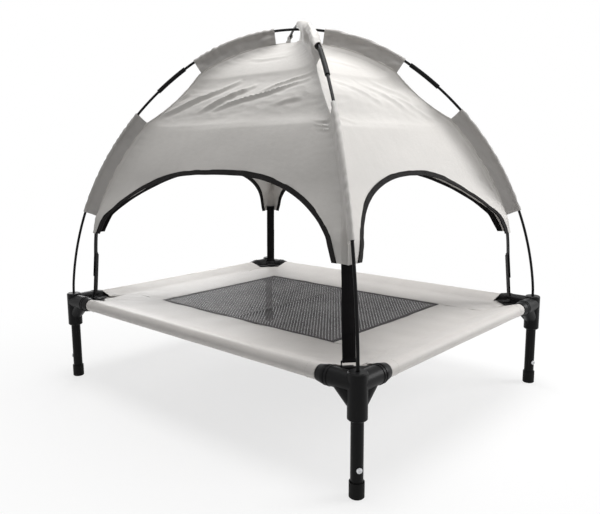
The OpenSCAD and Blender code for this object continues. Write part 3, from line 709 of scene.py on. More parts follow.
class Canopy:
    """The canopy's poles, ridges, panels and doorways as functions."""

    # Powers that shape the doorways: front and back, right and left, and the round of both.
    arch_square = (2.9, 2.4)
    arch_round = 0.64
    # Share of a doorway's height that runs straight to the tip.
    tip_straight = 0.25
    # The flat at each tip: lengths of its blends, lap over the strap, and room beside the strap.
    flat_blend = 0.090
    flat_run = 0.060
    flat_over = 0.006
    flat_clear = 0.0003
    # Lengths over which the flare grows and fades, and its loss between the sleeves.
    flare_grow = 0.120
    flare_fade = 0.140
    flare_slack = 0.65

    def __init__(self):
        self.size = sizes("canopy")
        self.poles = [PoleLine(k, self.size) for k in (0, 1)]
        self.panel_l = self.poles[0].tip
        self.arch_top = self.panel_l - self.size.arch_h
        self.flat_half = sizes("strap").width / 2 + self.flat_clear
        self.flat_l = self.panel_l - sizes("strap").tuck - self.flat_over
        self.panel_half = [float(self.half_width(j, np.array(self.panel_l))) for j in range(4)]

    def in_plane(self, i, reach, height, across=0.0):
        """Points in corner i's upright plane, or beside it."""
        reach, height, across = np.broadcast_arrays(reach, height, across)
        dx, dy = DIAG[i]
        return np.stack([dx * reach - dy * across, dy * reach + dx * across, height], axis=-1)

    def pole_frame(self, i, along):
        """Points on the pole at corner i, with the outward radius and the direction across the pole."""
        pole = self.poles[i % 2]
        reach, height = pole.at(along)
        turn = pole.turn(along)
        dx, dy = DIAG[i]
        across = np.broadcast_to([-dy, dx, 0.0], (len(along), 3))
        return self.in_plane(i, reach, height), self.in_plane(i, np.cos(turn), np.sin(turn)), across

    def on_pole(self, i, along):
        """The pole at corner i, and places on it for distances along a panel."""
        pole = self.poles[i % 2]
        return pole, np.asarray(along, float) * pole.tip / self.panel_l

    def ridge(self, i, along):
        """Points on the ridge at corner i."""
        pole, along = self.on_pole(i, along)
        return self.in_plane(i, *pole.at(along, pole.ridge_in(along)))

    def ridge_out(self, i, along):
        """Outward directions at the ridge at corner i."""
        pole, along = self.on_pole(i, along)
        turn = pole.turn(along)
        return self.in_plane(i, np.cos(turn), np.sin(turn))

    def half_width(self, j, along):
        """Half the distance between panel j's ridges."""
        return np.linalg.norm(self.ridge((j + 1) % 4, along) - self.ridge(j, along), axis=-1) / 2

    def panel_out(self, j, along):
        """Outward directions of panel j."""
        turn = self.poles[0].turn(along)[..., None]
        return SIDE_OUT[j] * np.cos(turn) + UP * np.sin(turn)

    def pull(self, along):
        """How hard the flaps draw a panel out at its edges."""
        pole = self.poles[0]
        free = share(along, pole.upper[1], pole.lower[0])
        fade = 1 - ease(share(along, self.flat_l - self.flare_fade, self.flat_l))
        return (1 - self.flare_slack * np.sin(math.pi * free) ** 2) * fade * ease(along / self.flare_grow)

    def tip_push(self, j, edge, along):
        """Outward turn of a panel to the flat at a corner tip."""
        lie, cross = slant(j)
        flat_w = self.flat_half * cross
        form = np.where(edge < flat_w, edge / flat_w, 1 - ease((edge - flat_w) / self.flat_run))
        return self.flat_half * lie * ease(share(along, self.flat_l - self.flat_blend, self.flat_l)) * form

    def panel(self, j, u, along):
        """Outer face of panel j: u runs from -1 at ridge j to 1 at the next ridge."""
        a, b = self.ridge(j, along), self.ridge((j + 1) % 4, along)
        half = np.linalg.norm(b - a, axis=-1) / 2
        edge = (1 - np.abs(u)) * half
        sag = self.size.sag * (1 - u * u) * np.maximum(0, np.sin(math.pi * along / self.arch_top))
        lie, cross = slant(j)
        flare = self.size.flare * cross / lie * self.pull(along) * (1 - np.exp(-edge / self.size.flare_run))
        rise = self.tip_push(j, edge, along) - sag - flare
        return (a + b) / 2 + u[..., None] * (b - a) / 2 + rise[..., None] * self.panel_out(j, along)

    def arch(self, j, phi, inset=0.0):
        """Place on the panel of a doorway's edge; phi runs over a half turn, inset goes into the doorway."""
        size = self.size
        square, low = self.arch_square[j % 2], self.tip_straight
        across = np.sin(phi)
        bow = np.maximum(0, 1 - np.abs(across) ** square) ** self.arch_round
        # The lowest part runs straight to the tip.
        turn_in = (1 - low ** (1 / self.arch_round)) ** (1 / square)
        straight_part = np.sign(across) * (1 + (turn_in - 1) * bow / low)
        across = np.where(bow < low, straight_part, across)
        u = (1 - (size.tip_half_w + inset) / self.panel_half[j]) * across
        return u, self.panel_l - (size.arch_h - inset) * bow


# Folds pressed into the panels: points (metres from the panel's middle, metres from the crown),
# then half width and height in metres. A mirrored list serves the panel on the far side.
FRONT_FOLDS = [
    ([(-0.250, 0.396), (-0.205, 0.369), (-0.162, 0.345), (-0.099, 0.314), (-0.042, 0.279)], 0.0072, 0.0056),
    ([(-0.222, 0.343), (-0.193, 0.312)], 0.0060, 0.0030),
    ([(-0.118, 0.385), (-0.071, 0.354), (-0.027, 0.325), (0.017, 0.303)], 0.0066, 0.0050),
    ([(-0.072, 0.381), (-0.032, 0.365), (0.013, 0.351), (0.073, 0.338), (0.125, 0.318), (0.172, 0.306)],
     0.0058, 0.0050),
    ([(0.046, 0.330), (0.076, 0.311), (0.118, 0.293), (0.171, 0.285)], 0.0052, 0.0034),
    ([(0.110, 0.383), (0.142, 0.374), (0.173, 0.367)], 0.0054, 0.0024),
    ([(0.239, 0.451), (0.264, 0.457), (0.290, 0.465)], 0.0032, 0.0016),
    ([(0.244, 0.463), (0.270, 0.470), (0.297, 0.478)], 0.0030, 0.0018),
    ([(0.251, 0.474), (0.276, 0.480), (0.302, 0.487)], 0.0030, 0.0015),
    ([(-0.060, 0.150), (-0.020, 0.170), (0.050, 0.165)], 0.0090, 0.0018),
]
RIGHT_FOLDS = [
    ([(-0.095, 0.284), (-0.048, 0.318), (0.000, 0.352), (0.020, 0.368)], 0.0080, 0.0030),
    ([(0.010, 0.286), (0.045, 0.320), (0.075, 0.352), (0.105, 0.384)], 0.0080, 0.0030),
    ([(0.060, 0.270), (0.100, 0.305), (0.140, 0.345)], 0.0100, 0.0026),
    ([(0.090, 0.330), (0.135, 0.372), (0.185, 0.412)], 0.0070, 0.0022),
    ([(-0.205, 0.420), (-0.160, 0.425), (-0.120, 0.440)], 0.0060, 0.0016),
    ([(-0.030, 0.160), (0.020, 0.175), (0.060, 0.200)], 0.0090, 0.0016),
]


def mirrored(folds):
    """The folds with left and right changed over."""
    return [([(-x, l) for x, l in points], wide, high) for points, wide, high in folds]


PANEL_FOLDS = [FRONT_FOLDS, RIGHT_FOLDS, mirrored(FRONT_FOLDS), mirrored(RIGHT_FOLDS)]


def fold_relief(x, along, folds):
    """Height of the pressed folds over a panel: a rounded crest with a trough on its lower side."""
    total = np.zeros_like(x)
    for points, wide, high in folds:
        points = np.array(points)
        spans = np.linalg.norm(np.diff(points, axis=0), axis=1)
        best = np.full(x.shape, np.inf)
        side = np.zeros_like(x)
        place = np.zeros_like(x)
        for n, (a, b) in enumerate(zip(points[:-1], points[1:])):
            lie = (b - a) / spans[n]
            t = np.clip((x - a[0]) * lie[0] + (along - a[1]) * lie[1], 0, spans[n])
            gap_x, gap_l = x - a[0] - t * lie[0], along - a[1] - t * lie[1]
            gap = np.hypot(gap_x, gap_l)
            near = gap < best
            best = np.where(near, gap, best)
            side = np.where(near, gap_x * -lie[1] + gap_l * lie[0], side)
            place = np.where(near, (spans[:n].sum() + t) / spans.sum(), place)
        taper = np.sin(math.pi * (0.06 + 0.88 * place)) ** 0.7
        crest = 0.6 * np.exp(-(best / wide) ** 2) + 0.4 * np.exp(-(2 * best / wide) ** 2)
        trough = np.exp(-((best - 1.7 * wide) / (1.1 * wide)) ** 2) * (side > 0)
        total += high * taper * (crest - 0.55 * trough)
    return total


class COT_OT_stage(bpy.types.Operator):
    """Sets up the pale floor, the soft studio light and the camera"""

    bl_idname = "cot.stage"
    bl_label = "Stage"

    floor_half = 8.0
    # Distances from the middle at which the floor begins to turn white, and is white.
    white_from, white_at = 0.45, 1.25
    # Each softbox's place, aim and width.
    softboxes = {
        "top": ((0.1, 0.05, 2.3), (0, 0, 0.42), 1.7),
        "key": ((1.8, 1.65, 1.25), (0, 0, 0.42), 1.2),
        "fill": ((-1.5, -2.0, 0.9), (0, 0, 0.42), 1.4),
        "side": ((-2.0, 1.1, 1.1), (0, 0, 0.2), 1.2),
    }

    def softbox(self, name, place, aim, width, power):
        """A round softbox that faces a point."""
        lamp = bpy.data.lights.new(name, "AREA")
        lamp.shape = "DISK"
        lamp.size = width
        lamp.energy = power
        holder = add_object(name, lamp)
        holder.location = place
        holder.rotation_euler = (Vector(aim) - Vector(place)).to_track_quat("-Z", "Y").to_euler()

    def camera(self, look):
        """The camera that took the photo, as solved from its perspective."""
        lens = bpy.data.cameras.new("photo_camera")
        lens.sensor_fit = "HORIZONTAL"
        lens.lens = look.focal_px * lens.sensor_width / PHOTO_W
        lens.shift_x = (PHOTO_W / 2 - look.centre_px[0]) / PHOTO_W
        lens.shift_y = (look.centre_px[1] - PHOTO_H / 2) / PHOTO_W
        ahead = Vector((math.cos(look.pitch) * math.sin(look.heading),
                        math.cos(look.pitch) * math.cos(look.heading), math.sin(look.pitch)))
        right = Vector((math.cos(look.heading), -math.sin(look.heading), 0))
        over = right.cross(ahead)
        side = math.cos(look.roll) * right + math.sin(look.roll) * over
        lift = -math.sin(look.roll) * right + math.cos(look.roll) * over
        turn = Matrix((side, lift, -ahead)).transposed().to_4x4()
        holder = add_object("photo_camera", lens)
        holder.matrix_world = Matrix.Translation(look.eye) @ turn
        bpy.context.scene.camera = holder

    def seen_rays(self, made):
        """1 for the rays that see the white background."""
        camera, glossy, through = [made.node("ShaderNodeLightPath", output=name) for name in
                                   ("Is Camera Ray", "Is Glossy Ray", "Is Transmission Ray")]
        return camera + glossy + through

    def empty_tree(self, owner):
        """A material's or world's node tree with nothing in it."""
        owner.use_nodes = True
        owner.node_tree.nodes.clear()
        return Finish(owner.node_tree)

    def floor(self, look):
        """A pale floor that keeps the shadow and turns white further out."""
        mesh = bpy.data.meshes.new("studio_floor")
        corners = [(*corner, 0) for corner in (CORNER_SIGNS * self.floor_half).tolist()]
        mesh.from_pydata(corners, [], [[0, 1, 2, 3]])
        ground = bpy.data.materials.new("studio_floor")
        made = self.empty_tree(ground)
        apart = made.node("ShaderNodeVectorMath", {"operation": "LENGTH"}, {0: made.place()}, "Value")
        far = made.ramp(apart, self.white_from, self.white_at)
        white = self.seen_rays(made) * (look.lift + far * (1 - look.lift))
        matte = made.node("ShaderNodeBsdfDiffuse", None, {"Color": (*look.floor, 1)})
        glow = made.node("ShaderNodeEmission", None, {"Color": WHITE, "Strength": 1.0})
        both = made.node("ShaderNodeMixShader", None, {0: white, 1: matte, 2: glow})
        made.node("ShaderNodeOutputMaterial", None, {"Surface": both})
        mesh.materials.append(ground)
        add_object("studio_floor", mesh)

    def world(self, look):
        """A white background and a little light from all round."""
        sky = bpy.data.worlds.new("studio")
        made = self.empty_tree(sky)
        lit, seen = [made.node("ShaderNodeBackground", None, {"Color": WHITE, "Strength": strength})
                     for strength in (look.ambient, 1.0)]
        both = made.node("ShaderNodeMixShader", None, {0: self.seen_rays(made), 1: lit, 2: seen})
        made.node("ShaderNodeOutputWorld", None, {"Surface": both})
        bpy.context.scene.world = sky

    def execute(self, context):
        look = sizes("stage")
        self.camera(look)
        self.floor(look)
        self.world(look)
        for name, setting in self.softboxes.items():
            self.softbox(name + "_softbox", *setting, getattr(look, name))
        context.scene.view_settings.view_transform = "Standard"
        return {"FINISHED"}


class COT_OT_hardware(bpy.types.Operator):
    """Gives the fittings, tubes, feet, screws, rings, ferrules and pole tips their finishes"""

    bl_idname = "cot.hardware"
    bl_label = "Hardware Finishes"

    crease = 32
    # The first start that fits a node's name gives its finish.
    finish_of = (
        ("foot_screw_", "bright_steel"), ("foot_", "foot_rubber"), ("corner_bands", None),
        ("corner_", "fitting_plastic"), ("leg_", "tube_steel"), ("rail_", "tube_steel"),
        ("strap_rings", "ring_plastic"), ("ferrules", "ferrule_steel"), ("pole_tips", "bright_steel"),
    )

    def execute(self, context):
        for name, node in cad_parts.items():
            finish = next((found for start, found in self.finish_of if name.startswith(start)), None)
            if finish:
                node.data.materials.clear()
                node.data.materials.append(finishes()[finish])
                smooth(node.data, self.crease)
        return {"FINISHED"}


class COT_OT_poles(bpy.types.Operator):
    """Builds the canopy's pole sections as smooth rods"""

    bl_idname = "cot.poles"
    bl_label = "Poles"

    # Half the gap between two sections inside a ferrule.
    joint = 0.00015

    def rod(self, name, path, out):
        """One pole section."""
        rod = tube(path, out, sizes("canopy").pole_d / 2)
        make_piece("rod_" + name, *rod, "pole_rod", "pole_fibreglass", "canopy", ["pole_" + name])

    def execute(self, context):
        canopy = Canopy()
        for k, name in enumerate(("lower", "upper")):
            pole = canopy.poles[k]
            along = np.linspace(0, pole.ferrule_mid - self.joint, 60)
            near, near_out, _ = canopy.pole_frame(k, along)
            far, far_out, _ = canopy.pole_frame(k + 2, along)
            self.rod("crown_" + name, np.concatenate([near[:0:-1], far]),
                     np.concatenate([near_out[:0:-1], far_out]))
        for i, corner in enumerate(CORNERS):
            pole = canopy.poles[i % 2]
            path, out, _ = canopy.pole_frame(i, np.linspace(pole.ferrule_mid + self.joint, pole.whole, 110))
            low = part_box("pole_" + corner)[0].z
            foot = np.array([[*LEGS[i], z] for z in np.linspace(POST_TOP, low, 6)[1:]])
            self.rod(corner, np.concatenate([path, foot]),
                     np.concatenate([out, np.repeat(out[-1:], len(foot), axis=0)]))
        return {"FINISHED"}


class COT_OT_canopy_panels(bpy.types.Operator):
    """Builds the four canopy panels as drawn and folded cloth, with the rolled seams between them"""

    bl_idname = "cot.canopy_panels"
    bl_label = "Canopy Panels"

    rows = 156
    arch_cols = 128
    tip_cols = 10
    # Height, wavelength and number of waves of the unevenness: over a panel, where it is loose, crushed
    # between the sleeves, along the ridges, and of the rolled seams.
    slack = 0.0010, 0.16, 6
    rumple = 0.0004, 0.045, 7
    crush = 0.0008, 0.05, 5
    pucker = 0.0011, 0.022, 5
    seam = 0.0003, 0.03, 4
    seam_r = 0.0013
    seam_from = 0.004
    ridge_thick = 1.2
    # Distances from a ridge over which the cloth is held, slack grows and puckers fade.
    hold_run = 0.012
    slack_run = 0.030
    pucker_run = 0.014
    # Distance from the crown over which folds grow, and overlap of the loose part with the sleeves.
    crown_run = 0.10
    loose_over = 0.03

    def grid(self, canopy, j):
        """Columns follow the doorway, rows run from the crown to the lower edge."""
        u, end = canopy.arch(j, spread(self.arch_cols))
        tip = np.linspace(1, u[-1], self.tip_cols + 1)[:-1]
        u = np.concatenate([-tip, u, tip[::-1]])
        end = np.concatenate([np.full(self.tip_cols, canopy.panel_l), end,
                              np.full(self.tip_cols, canopy.panel_l)])
        rows = np.linspace(0, 1, self.rows)
        return np.broadcast_to(u, (self.rows, len(u))), rows[:, None] * end

    def relief(self, canopy, j, u, along):
        """Folds, seam puckers and slight slackness over a panel."""
        half = canopy.half_width(j, along)
        x = u * half
        edge = (1 - np.abs(u)) * half
        pole = canopy.poles[0]
        free = share(along, pole.upper[1] - self.loose_over, pole.lower[0] + self.loose_over)
        loose = np.sin(math.pi * free) ** 2
        held = ease(edge / self.hold_run)
        folds = fold_relief(x, along, PANEL_FOLDS[j])
        slack = waves(self.slack, x, along, 11 + j) + loose * waves(self.rumple, x, along, 21 + j)
        crest = np.abs(waves(self.crush, x * 0.6, along * 1.7, 31 + j))
        crushed = loose * (self.crush[0] / 2 - crest)
        pucker = np.exp(-edge / self.pucker_run) * waves(self.pucker, along, np.sign(u), 41 + j)
        uneven = (slack + crushed) * np.minimum(1, edge / self.slack_run)
        return ((folds + uneven) * ease(along / self.crown_run) + pucker) * held

    def execute(self, context):
        canopy = Canopy()
        size = canopy.size
        for j, side in enumerate(SIDES):
            u, along = self.grid(canopy, j)
            outer = canopy.panel(j, u, along)
            face = canopy.panel_out(j, along)
            outer = outer + self.relief(canopy, j, u, along)[..., None] * face
            lean = unit(np.cross(np.gradient(outer, axis=0), np.gradient(outer, axis=1)))
            lean[0] = face[0]
            # At the ridges the cloth is thicker, so that neighbours' inner faces meet.
            for c, i in ((0, j), (-1, (j + 1) % 4)):
                lean[:, c] = canopy.ridge_out(i, along[:, c]) * self.ridge_thick
            inner = outer - lean * size.cloth_t
            flat = np.stack([u * canopy.half_width(j, along), along], axis=-1).reshape(-1, 2)
            make_piece("canopy_cloth_" + side, *sheet_solid(outer, inner), np.concatenate([flat, flat]),
                       "canopy_cloth", "canopy_cloth", "canopy", ["canopy_" + side])
        seams = []
        along = np.linspace(self.seam_from, canopy.panel_l, 200)
        for i in range(4):
            radius = self.seam_r + waves(self.seam, along, along, 51 + i)
            seams.append(tube(canopy.ridge(i, along), canopy.ridge_out(i, along), radius, 8))
        make_piece("ridge_seams", *join_meshes(seams), "canopy_cloth", "canopy_cloth", "canopy")
        return {"FINISHED"}


class COT_OT_pole_sleeves(bpy.types.Operator):
    """Builds the cloth sleeves that hold the poles, each with a doubled flap down to the ridge"""

    bl_idname = "cot.pole_sleeves"
    bl_label = "Pole Sleeves"

    cloth_t = 0.0009
    pocket_r = 0.0044
    # Half the turn of the cloth round the pole, in degrees, and the distance from the pole to the flap.
    pocket_turn = 148
    neck = 0.010
    # Lap of the flap into the ridge, and thickness and width of the hems at a sleeve's ends.
    ridge_lap = 0.0006
    hem_thick = 0.7
    hem_run = 0.004
    step = 0.0042
    # How far each upper sleeve's two ends have slipped along the pole.
    slips = {"front_left": (0, -0.006), "front_right": (0, 0.020),
             "back_right": (0.016, 0.006), "back_left": (0.032, 0)}

    def sleeve(self, canopy, i, span, baggy, crush, seed):
        """A strip of cloth folded over the pole, its two edges sewn into the ridge."""
        pocket_r = self.pocket_r + baggy
        pole = canopy.poles[i % 2]
        along = np.linspace(*span, int((span[1] - span[0]) / self.step))
        flap = pole.ridge_in(along) + self.ridge_lap
        down = np.linspace(1, 0, 9)
        turn = np.radians(np.linspace(self.pocket_turn, -self.pocket_turn, 15))
        neck = self.neck + 2 * baggy
        leg = -(neck + (flap[:, None] - neck) * down)
        pocket = np.broadcast_to(pocket_r * np.cos(turn) - baggy, (len(along), len(turn)))
        radial = np.concatenate([leg, pocket, leg[:, ::-1]], axis=1)
        gap = np.full(len(down), self.cloth_t * 0.56)
        across = np.concatenate([gap, pocket_r * np.sin(turn), -gap])
        line = np.stack([radial, np.broadcast_to(across, radial.shape)], axis=-1)
        normal = unit(np.gradient(line, axis=1))[..., ::-1] * [1, -1]
        free = np.sin(math.pi * share(-radial, 0.004, flap[:, None]))
        # The flap's two layers bulge together; the pocket only puckers.
        run = np.broadcast_to(along[:, None], radial.shape)
        bow = crush * ripples(run, radial * 0, 0.06, 5, seed) * free
        fine = 0.4 * crush * ripples(run, radial, 0.022, 6, seed + 1) * free
        plump = (0.0003 + 0.25 * crush) * ripples(run, across * 2, 0.02, 4, seed + 2) * (radial > -0.006)
        hem = 1 + self.hem_thick * np.exp(-np.minimum(along - span[0], span[1] - along) / self.hem_run)
        at, out, side = canopy.pole_frame(i, along)
        layers = []
        for half in (0.5, -0.5):
            place = line + normal * (half * self.cloth_t * hem[:, None, None] + plump[..., None])
            layers.append(at[:, None] + place[..., :1] * out[:, None]
                          + (place[..., 1:] + (bow + fine)[..., None]) * side[:, None])
        sections = np.concatenate([layers[0], layers[1][:, ::-1]], axis=1)
        points, faces = sweep(sections, folded=True)
        lay = run_lengths(line[len(line) // 2])
        return points, faces, sweep_uv(sections, np.concatenate([lay, lay[::-1]])), lay[-1]

    def execute(self, context):
        canopy = Canopy()
        for i, corner in enumerate(CORNERS):
            pole = canopy.poles[i % 2]
            # The upper sleeve at the front right corner is slack and lies in creases; both sleeves there are
            # plain canopy cloth.
            slack = corner == "front_right"
            # Elsewhere the sleeves take the sleeve cloth, darkened with painted shade.
            cloth = "canopy_cloth" if slack else "sleeve_cloth"
            upper = tuple(end + slip for end, slip in zip(pole.upper, self.slips[corner]))
            for level, span, baggy, crush in (("upper", upper, slack * 0.004, 0.0042 if slack else 0.0024),
                                              ("lower", pole.lower, 0, 0.0010)):
                *made, wide = self.sleeve(canopy, i, span, baggy, crush, 61 + 7 * i + (level == "lower"))
                piece = make_piece(f"{level}_pole_sleeve_{corner}", *made, cloth, "sleeve_cloth",
                                   "canopy", [f"{level}_sleeve_{corner}"])
                rod = "rod_crown_" + ("lower", "upper")[i % 2] if level == "upper" else "rod_" + corner
                span[1] - span[0]
        return {"FINISHED"}


class COT_OT_edge_tapes(bpy.types.Operator):
    """Binds the doorways with folded tape"""

    bl_idname = "cot.edge_tapes"
    bl_label = "Edge Tapes"

    stations = 150
    thick = 0.0026
    lap = 0.0015
    uneven = 0.0004, 0.05, 4

    def outline(self, width):
        """Section of the folded tape: place into the doorway and height over the cloth's middle."""
        h = self.thick / 2
        return mirror_closed([(-self.lap, 0.6 * h), (0, h), (width * 0.3, 0.8 * h), (width * 0.7, 0.8 * h),
                              (width * 0.93, h)], (width, 0))

    def execute(self, context):
        canopy = Canopy()
        size = canopy.size
        phi = spread(self.stations)
        for j, side in enumerate(SIDES):
            sections = []
            for inset, height in self.outline(size.tape_w):
                u, along = canopy.arch(j, phi, inset)
                lift = height - size.cloth_t / 2 + waves(self.uneven, phi * 0.3, phi * 0, 81 + j)
                sections.append(canopy.panel(j, u, along) + lift[:, None] * canopy.panel_out(j, along))
            sections = np.stack(sections, axis=1)
            flat = sweep_uv(sections, self.outline(size.tape_w)[:, 0])
            tape = make_piece("doorway_tape_" + side, *sweep(sections), flat, "edge_tape", "edge_tape",
                              "canopy", ["edge_tape_" + side], crease=60)
            along = np.linspace(0, canopy.panel_l, 200)
            wide = 2 * canopy.half_width(j, along)
            u, edge = canopy.arch(j, phi)
            doorway = np.trapz(canopy.panel_l - edge, u * canopy.panel_half[j])
        return {"FINISHED"}


class StrapLine:
    """The line of a canopy strap in its corner's upright plane, from its ring to the corner tip."""

    # Distance of the ring from the band's edge, and lap of the band on the rail sleeves.
    ring_set_in = 0.001
    band_lap = 0.004
    # Gaps under the eye and round the ring's wire, and thickness of the cloth at the tip.
    eye_gap = 0.0001
    clear = 0.0003
    tip_cloth = 0.0014

    def __init__(self, i, canopy):
        self.i, self.canopy = i, canopy
        size = self.size = sizes("strap")
        dx, dy = np.abs(DIAG[i])
        self.eye = size.ring_wire / 2 + self.clear + size.thick / 2
        self.ring_s = HALF_DIAG - (sizes("bed").sleeve_end - self.band_lap) / (dx + dy) - self.ring_set_in
        self.ring_z = BAND_TOP + self.eye_gap + self.eye + size.thick / 2
        self.off = size.thick * 1.5 + self.clear
        pole = canopy.poles[i % 2]
        top = pole.tip - size.tuck
        reach, height = pole.at(top, pole.ridge_in(top))
        reach = reach - 2 * self.tip_cloth - size.thick / 2
        self.lean = math.atan2(self.ring_s + self.off - reach, height - self.ring_z)
        self.top = (height - self.ring_z) / math.cos(self.lean)
        self.side = np.array([-DIAG[i][1], DIAG[i][0], 0.0])

    def points(self, line, upright=False):
        """Points of a line drawn in the strap's own x and z, or upright at the ring."""
        x, z = np.asarray(line, float).T
        lean = 0 if upright else self.lean
        reach = self.ring_s + x * math.cos(lean) - z * math.sin(lean)
        height = self.ring_z + x * math.sin(lean) + z * math.cos(lean)
        return self.canopy.in_plane(self.i, reach, height)


class COT_OT_straps(bpy.types.Operator):
    """Builds the canopy's straps and the lower straps that pass round the rings"""

    bl_idname = "cot.straps"
    bl_label = "Straps"

    # Bow of a canopy strap, and how far the lower strap's inner layer stops short of its outer layer.
    bow = 0.0008
    short = 0.004

    def execute(self, context):
        canopy = Canopy()
        loops = []
        for i, corner in enumerate(CORNERS):
            line = StrapLine(i, canopy)
            size = line.size
            start = size.ring_pitch + size.loop_len - size.lap
            z = np.linspace(start, line.top, 60)
            bow = self.bow * np.sin(math.pi * share(z, start + size.lap, line.top))
            path = line.points(np.stack([line.off + bow, z], axis=-1))
            make_piece("strap_webbing_" + corner, *ribbon(path, line.side, size.width, size.thick), "webbing",
                       "webbing", "canopy", ["strap_" + corner])
            top = size.ring_pitch + size.loop_len
            pinch = size.ring_pitch + 2.2 * line.eye
            layer = size.thick * 0.52
            path = line.points(np.concatenate([
                np.linspace((layer, top), (layer, pinch), 30),
                bent((0, size.ring_pitch), line.eye, 40, -220, 24),
                np.linspace((-layer, pinch), (-layer, top - self.short), 30)]))
            loops.append(ribbon(path, line.side, size.width, size.thick * 0.96))
        make_piece("lower_strap_webbing", *join_meshes(loops), "webbing", "webbing", "cot", ["strap_loops"])
        return {"FINISHED"}


def band_cut():
    """Distance from a leg, along either rail, to where a corner band's middle line would cross it."""
    return sizes("bed").sleeve_end - StrapLine.band_lap + sizes("strap").band_w / math.sqrt(2)


class COT_OT_corner_webbing(bpy.types.Operator):
    """Builds the bands across the cover's corners and the tabs that hold the strap rings"""

    bl_idname = "cot.corner_webbing"
    bl_label = "Corner Webbing"

    # Distance from a rail's axis to a band's end, and bow of a band.
    end_clear = 0.0215
    bow = 0.0004
    # Length of a tab, and set-backs of its upper layer from the eye and from its end.
    tab_l = 0.018
    eye_off = 0.0022
    end_off = 0.002

    def band(self, i, size):
        """A band between the two rail sleeves."""
        cut = band_cut()
        reach = (cut - 2 * self.end_clear) / math.sqrt(2)
        along = np.linspace(-reach, reach, 40)
        lift = BAND_TOP - size.band_t / 2 + self.bow * np.cos(math.pi * along / reach / 2)
        x, y = quarter_turned(i, cut / 2 + along / math.sqrt(2), cut / 2 - along / math.sqrt(2))
        path = np.stack([LEGS[i][0] + x, LEGS[i][1] + y, lift], axis=-1)
        side = unit(np.array([*quarter_turned(i, 1, 1), 0]))
        return ribbon(path, side, size.band_w, size.band_t)

    def execute(self, context):
        canopy = Canopy()
        size = sizes("strap")
        bands, tabs = [], []
        for i in range(4):
            bands.append(self.band(i, size))
            line = StrapLine(i, canopy)
            low, high = -line.eye, -line.eye + size.thick
            path = line.points(np.concatenate([
                np.linspace((-self.tab_l, low), (-0.001, low), 12),
                bent((0, 0), line.eye, -90, 170, 26),
                np.linspace((low - self.eye_off, high), (self.end_off - self.tab_l, high), 10)]), True)
            tabs.append(ribbon(path, line.side, size.width, size.thick * 0.94))
        make_piece("corner_band_webbing", *join_meshes(bands), "webbing", "webbing", "cot", ["corner_bands"])
        make_piece("anchor_tab_webbing", *join_meshes(tabs), "webbing", "webbing", "cot", ["anchor_tabs"])
        return {"FINISHED"}


class BedSide:
    """One side of the bed, drawn along its rail with its inside towards +y."""

    def __init__(self, j):
        self.j = j
        self.long = j % 2 == 0
        self.half = HALF_X if self.long else HALF_Y
        self.off = HALF_Y if self.long else HALF_X

    def place(self, x, y, z):
        """Points in the frame from places along the rail, inward of its axis, and up from it."""
        x, y, z = np.broadcast_arrays(x, y, z)
        return np.stack([*quarter_turned(self.j, x, y - self.off), RAIL_Z + z], axis=-1)


def bed_drop(x, y):
    """Sag of the bed's cloth below the rails, with the crease that folding for packing left in the mesh."""
    bed = sizes("bed")
    slope, offset, half_width, fade = 0.03, 0.006, 0.011, 0.03
    hold_x = np.cos(math.pi / 2 * np.clip(x / (HALF_X - bed.seam), -1, 1))
    hold_y = np.cos(math.pi / 2 * np.clip(y / (HALF_Y - bed.seam), -1, 1))
    crease = np.exp(-((x - slope * y + offset) / half_width) ** 2)
    crease = crease * ease(share(bed.mesh_y / 2 - np.abs(y), 0, fade))
    return bed.crease * crease - bed.sag * hold_x * hold_y


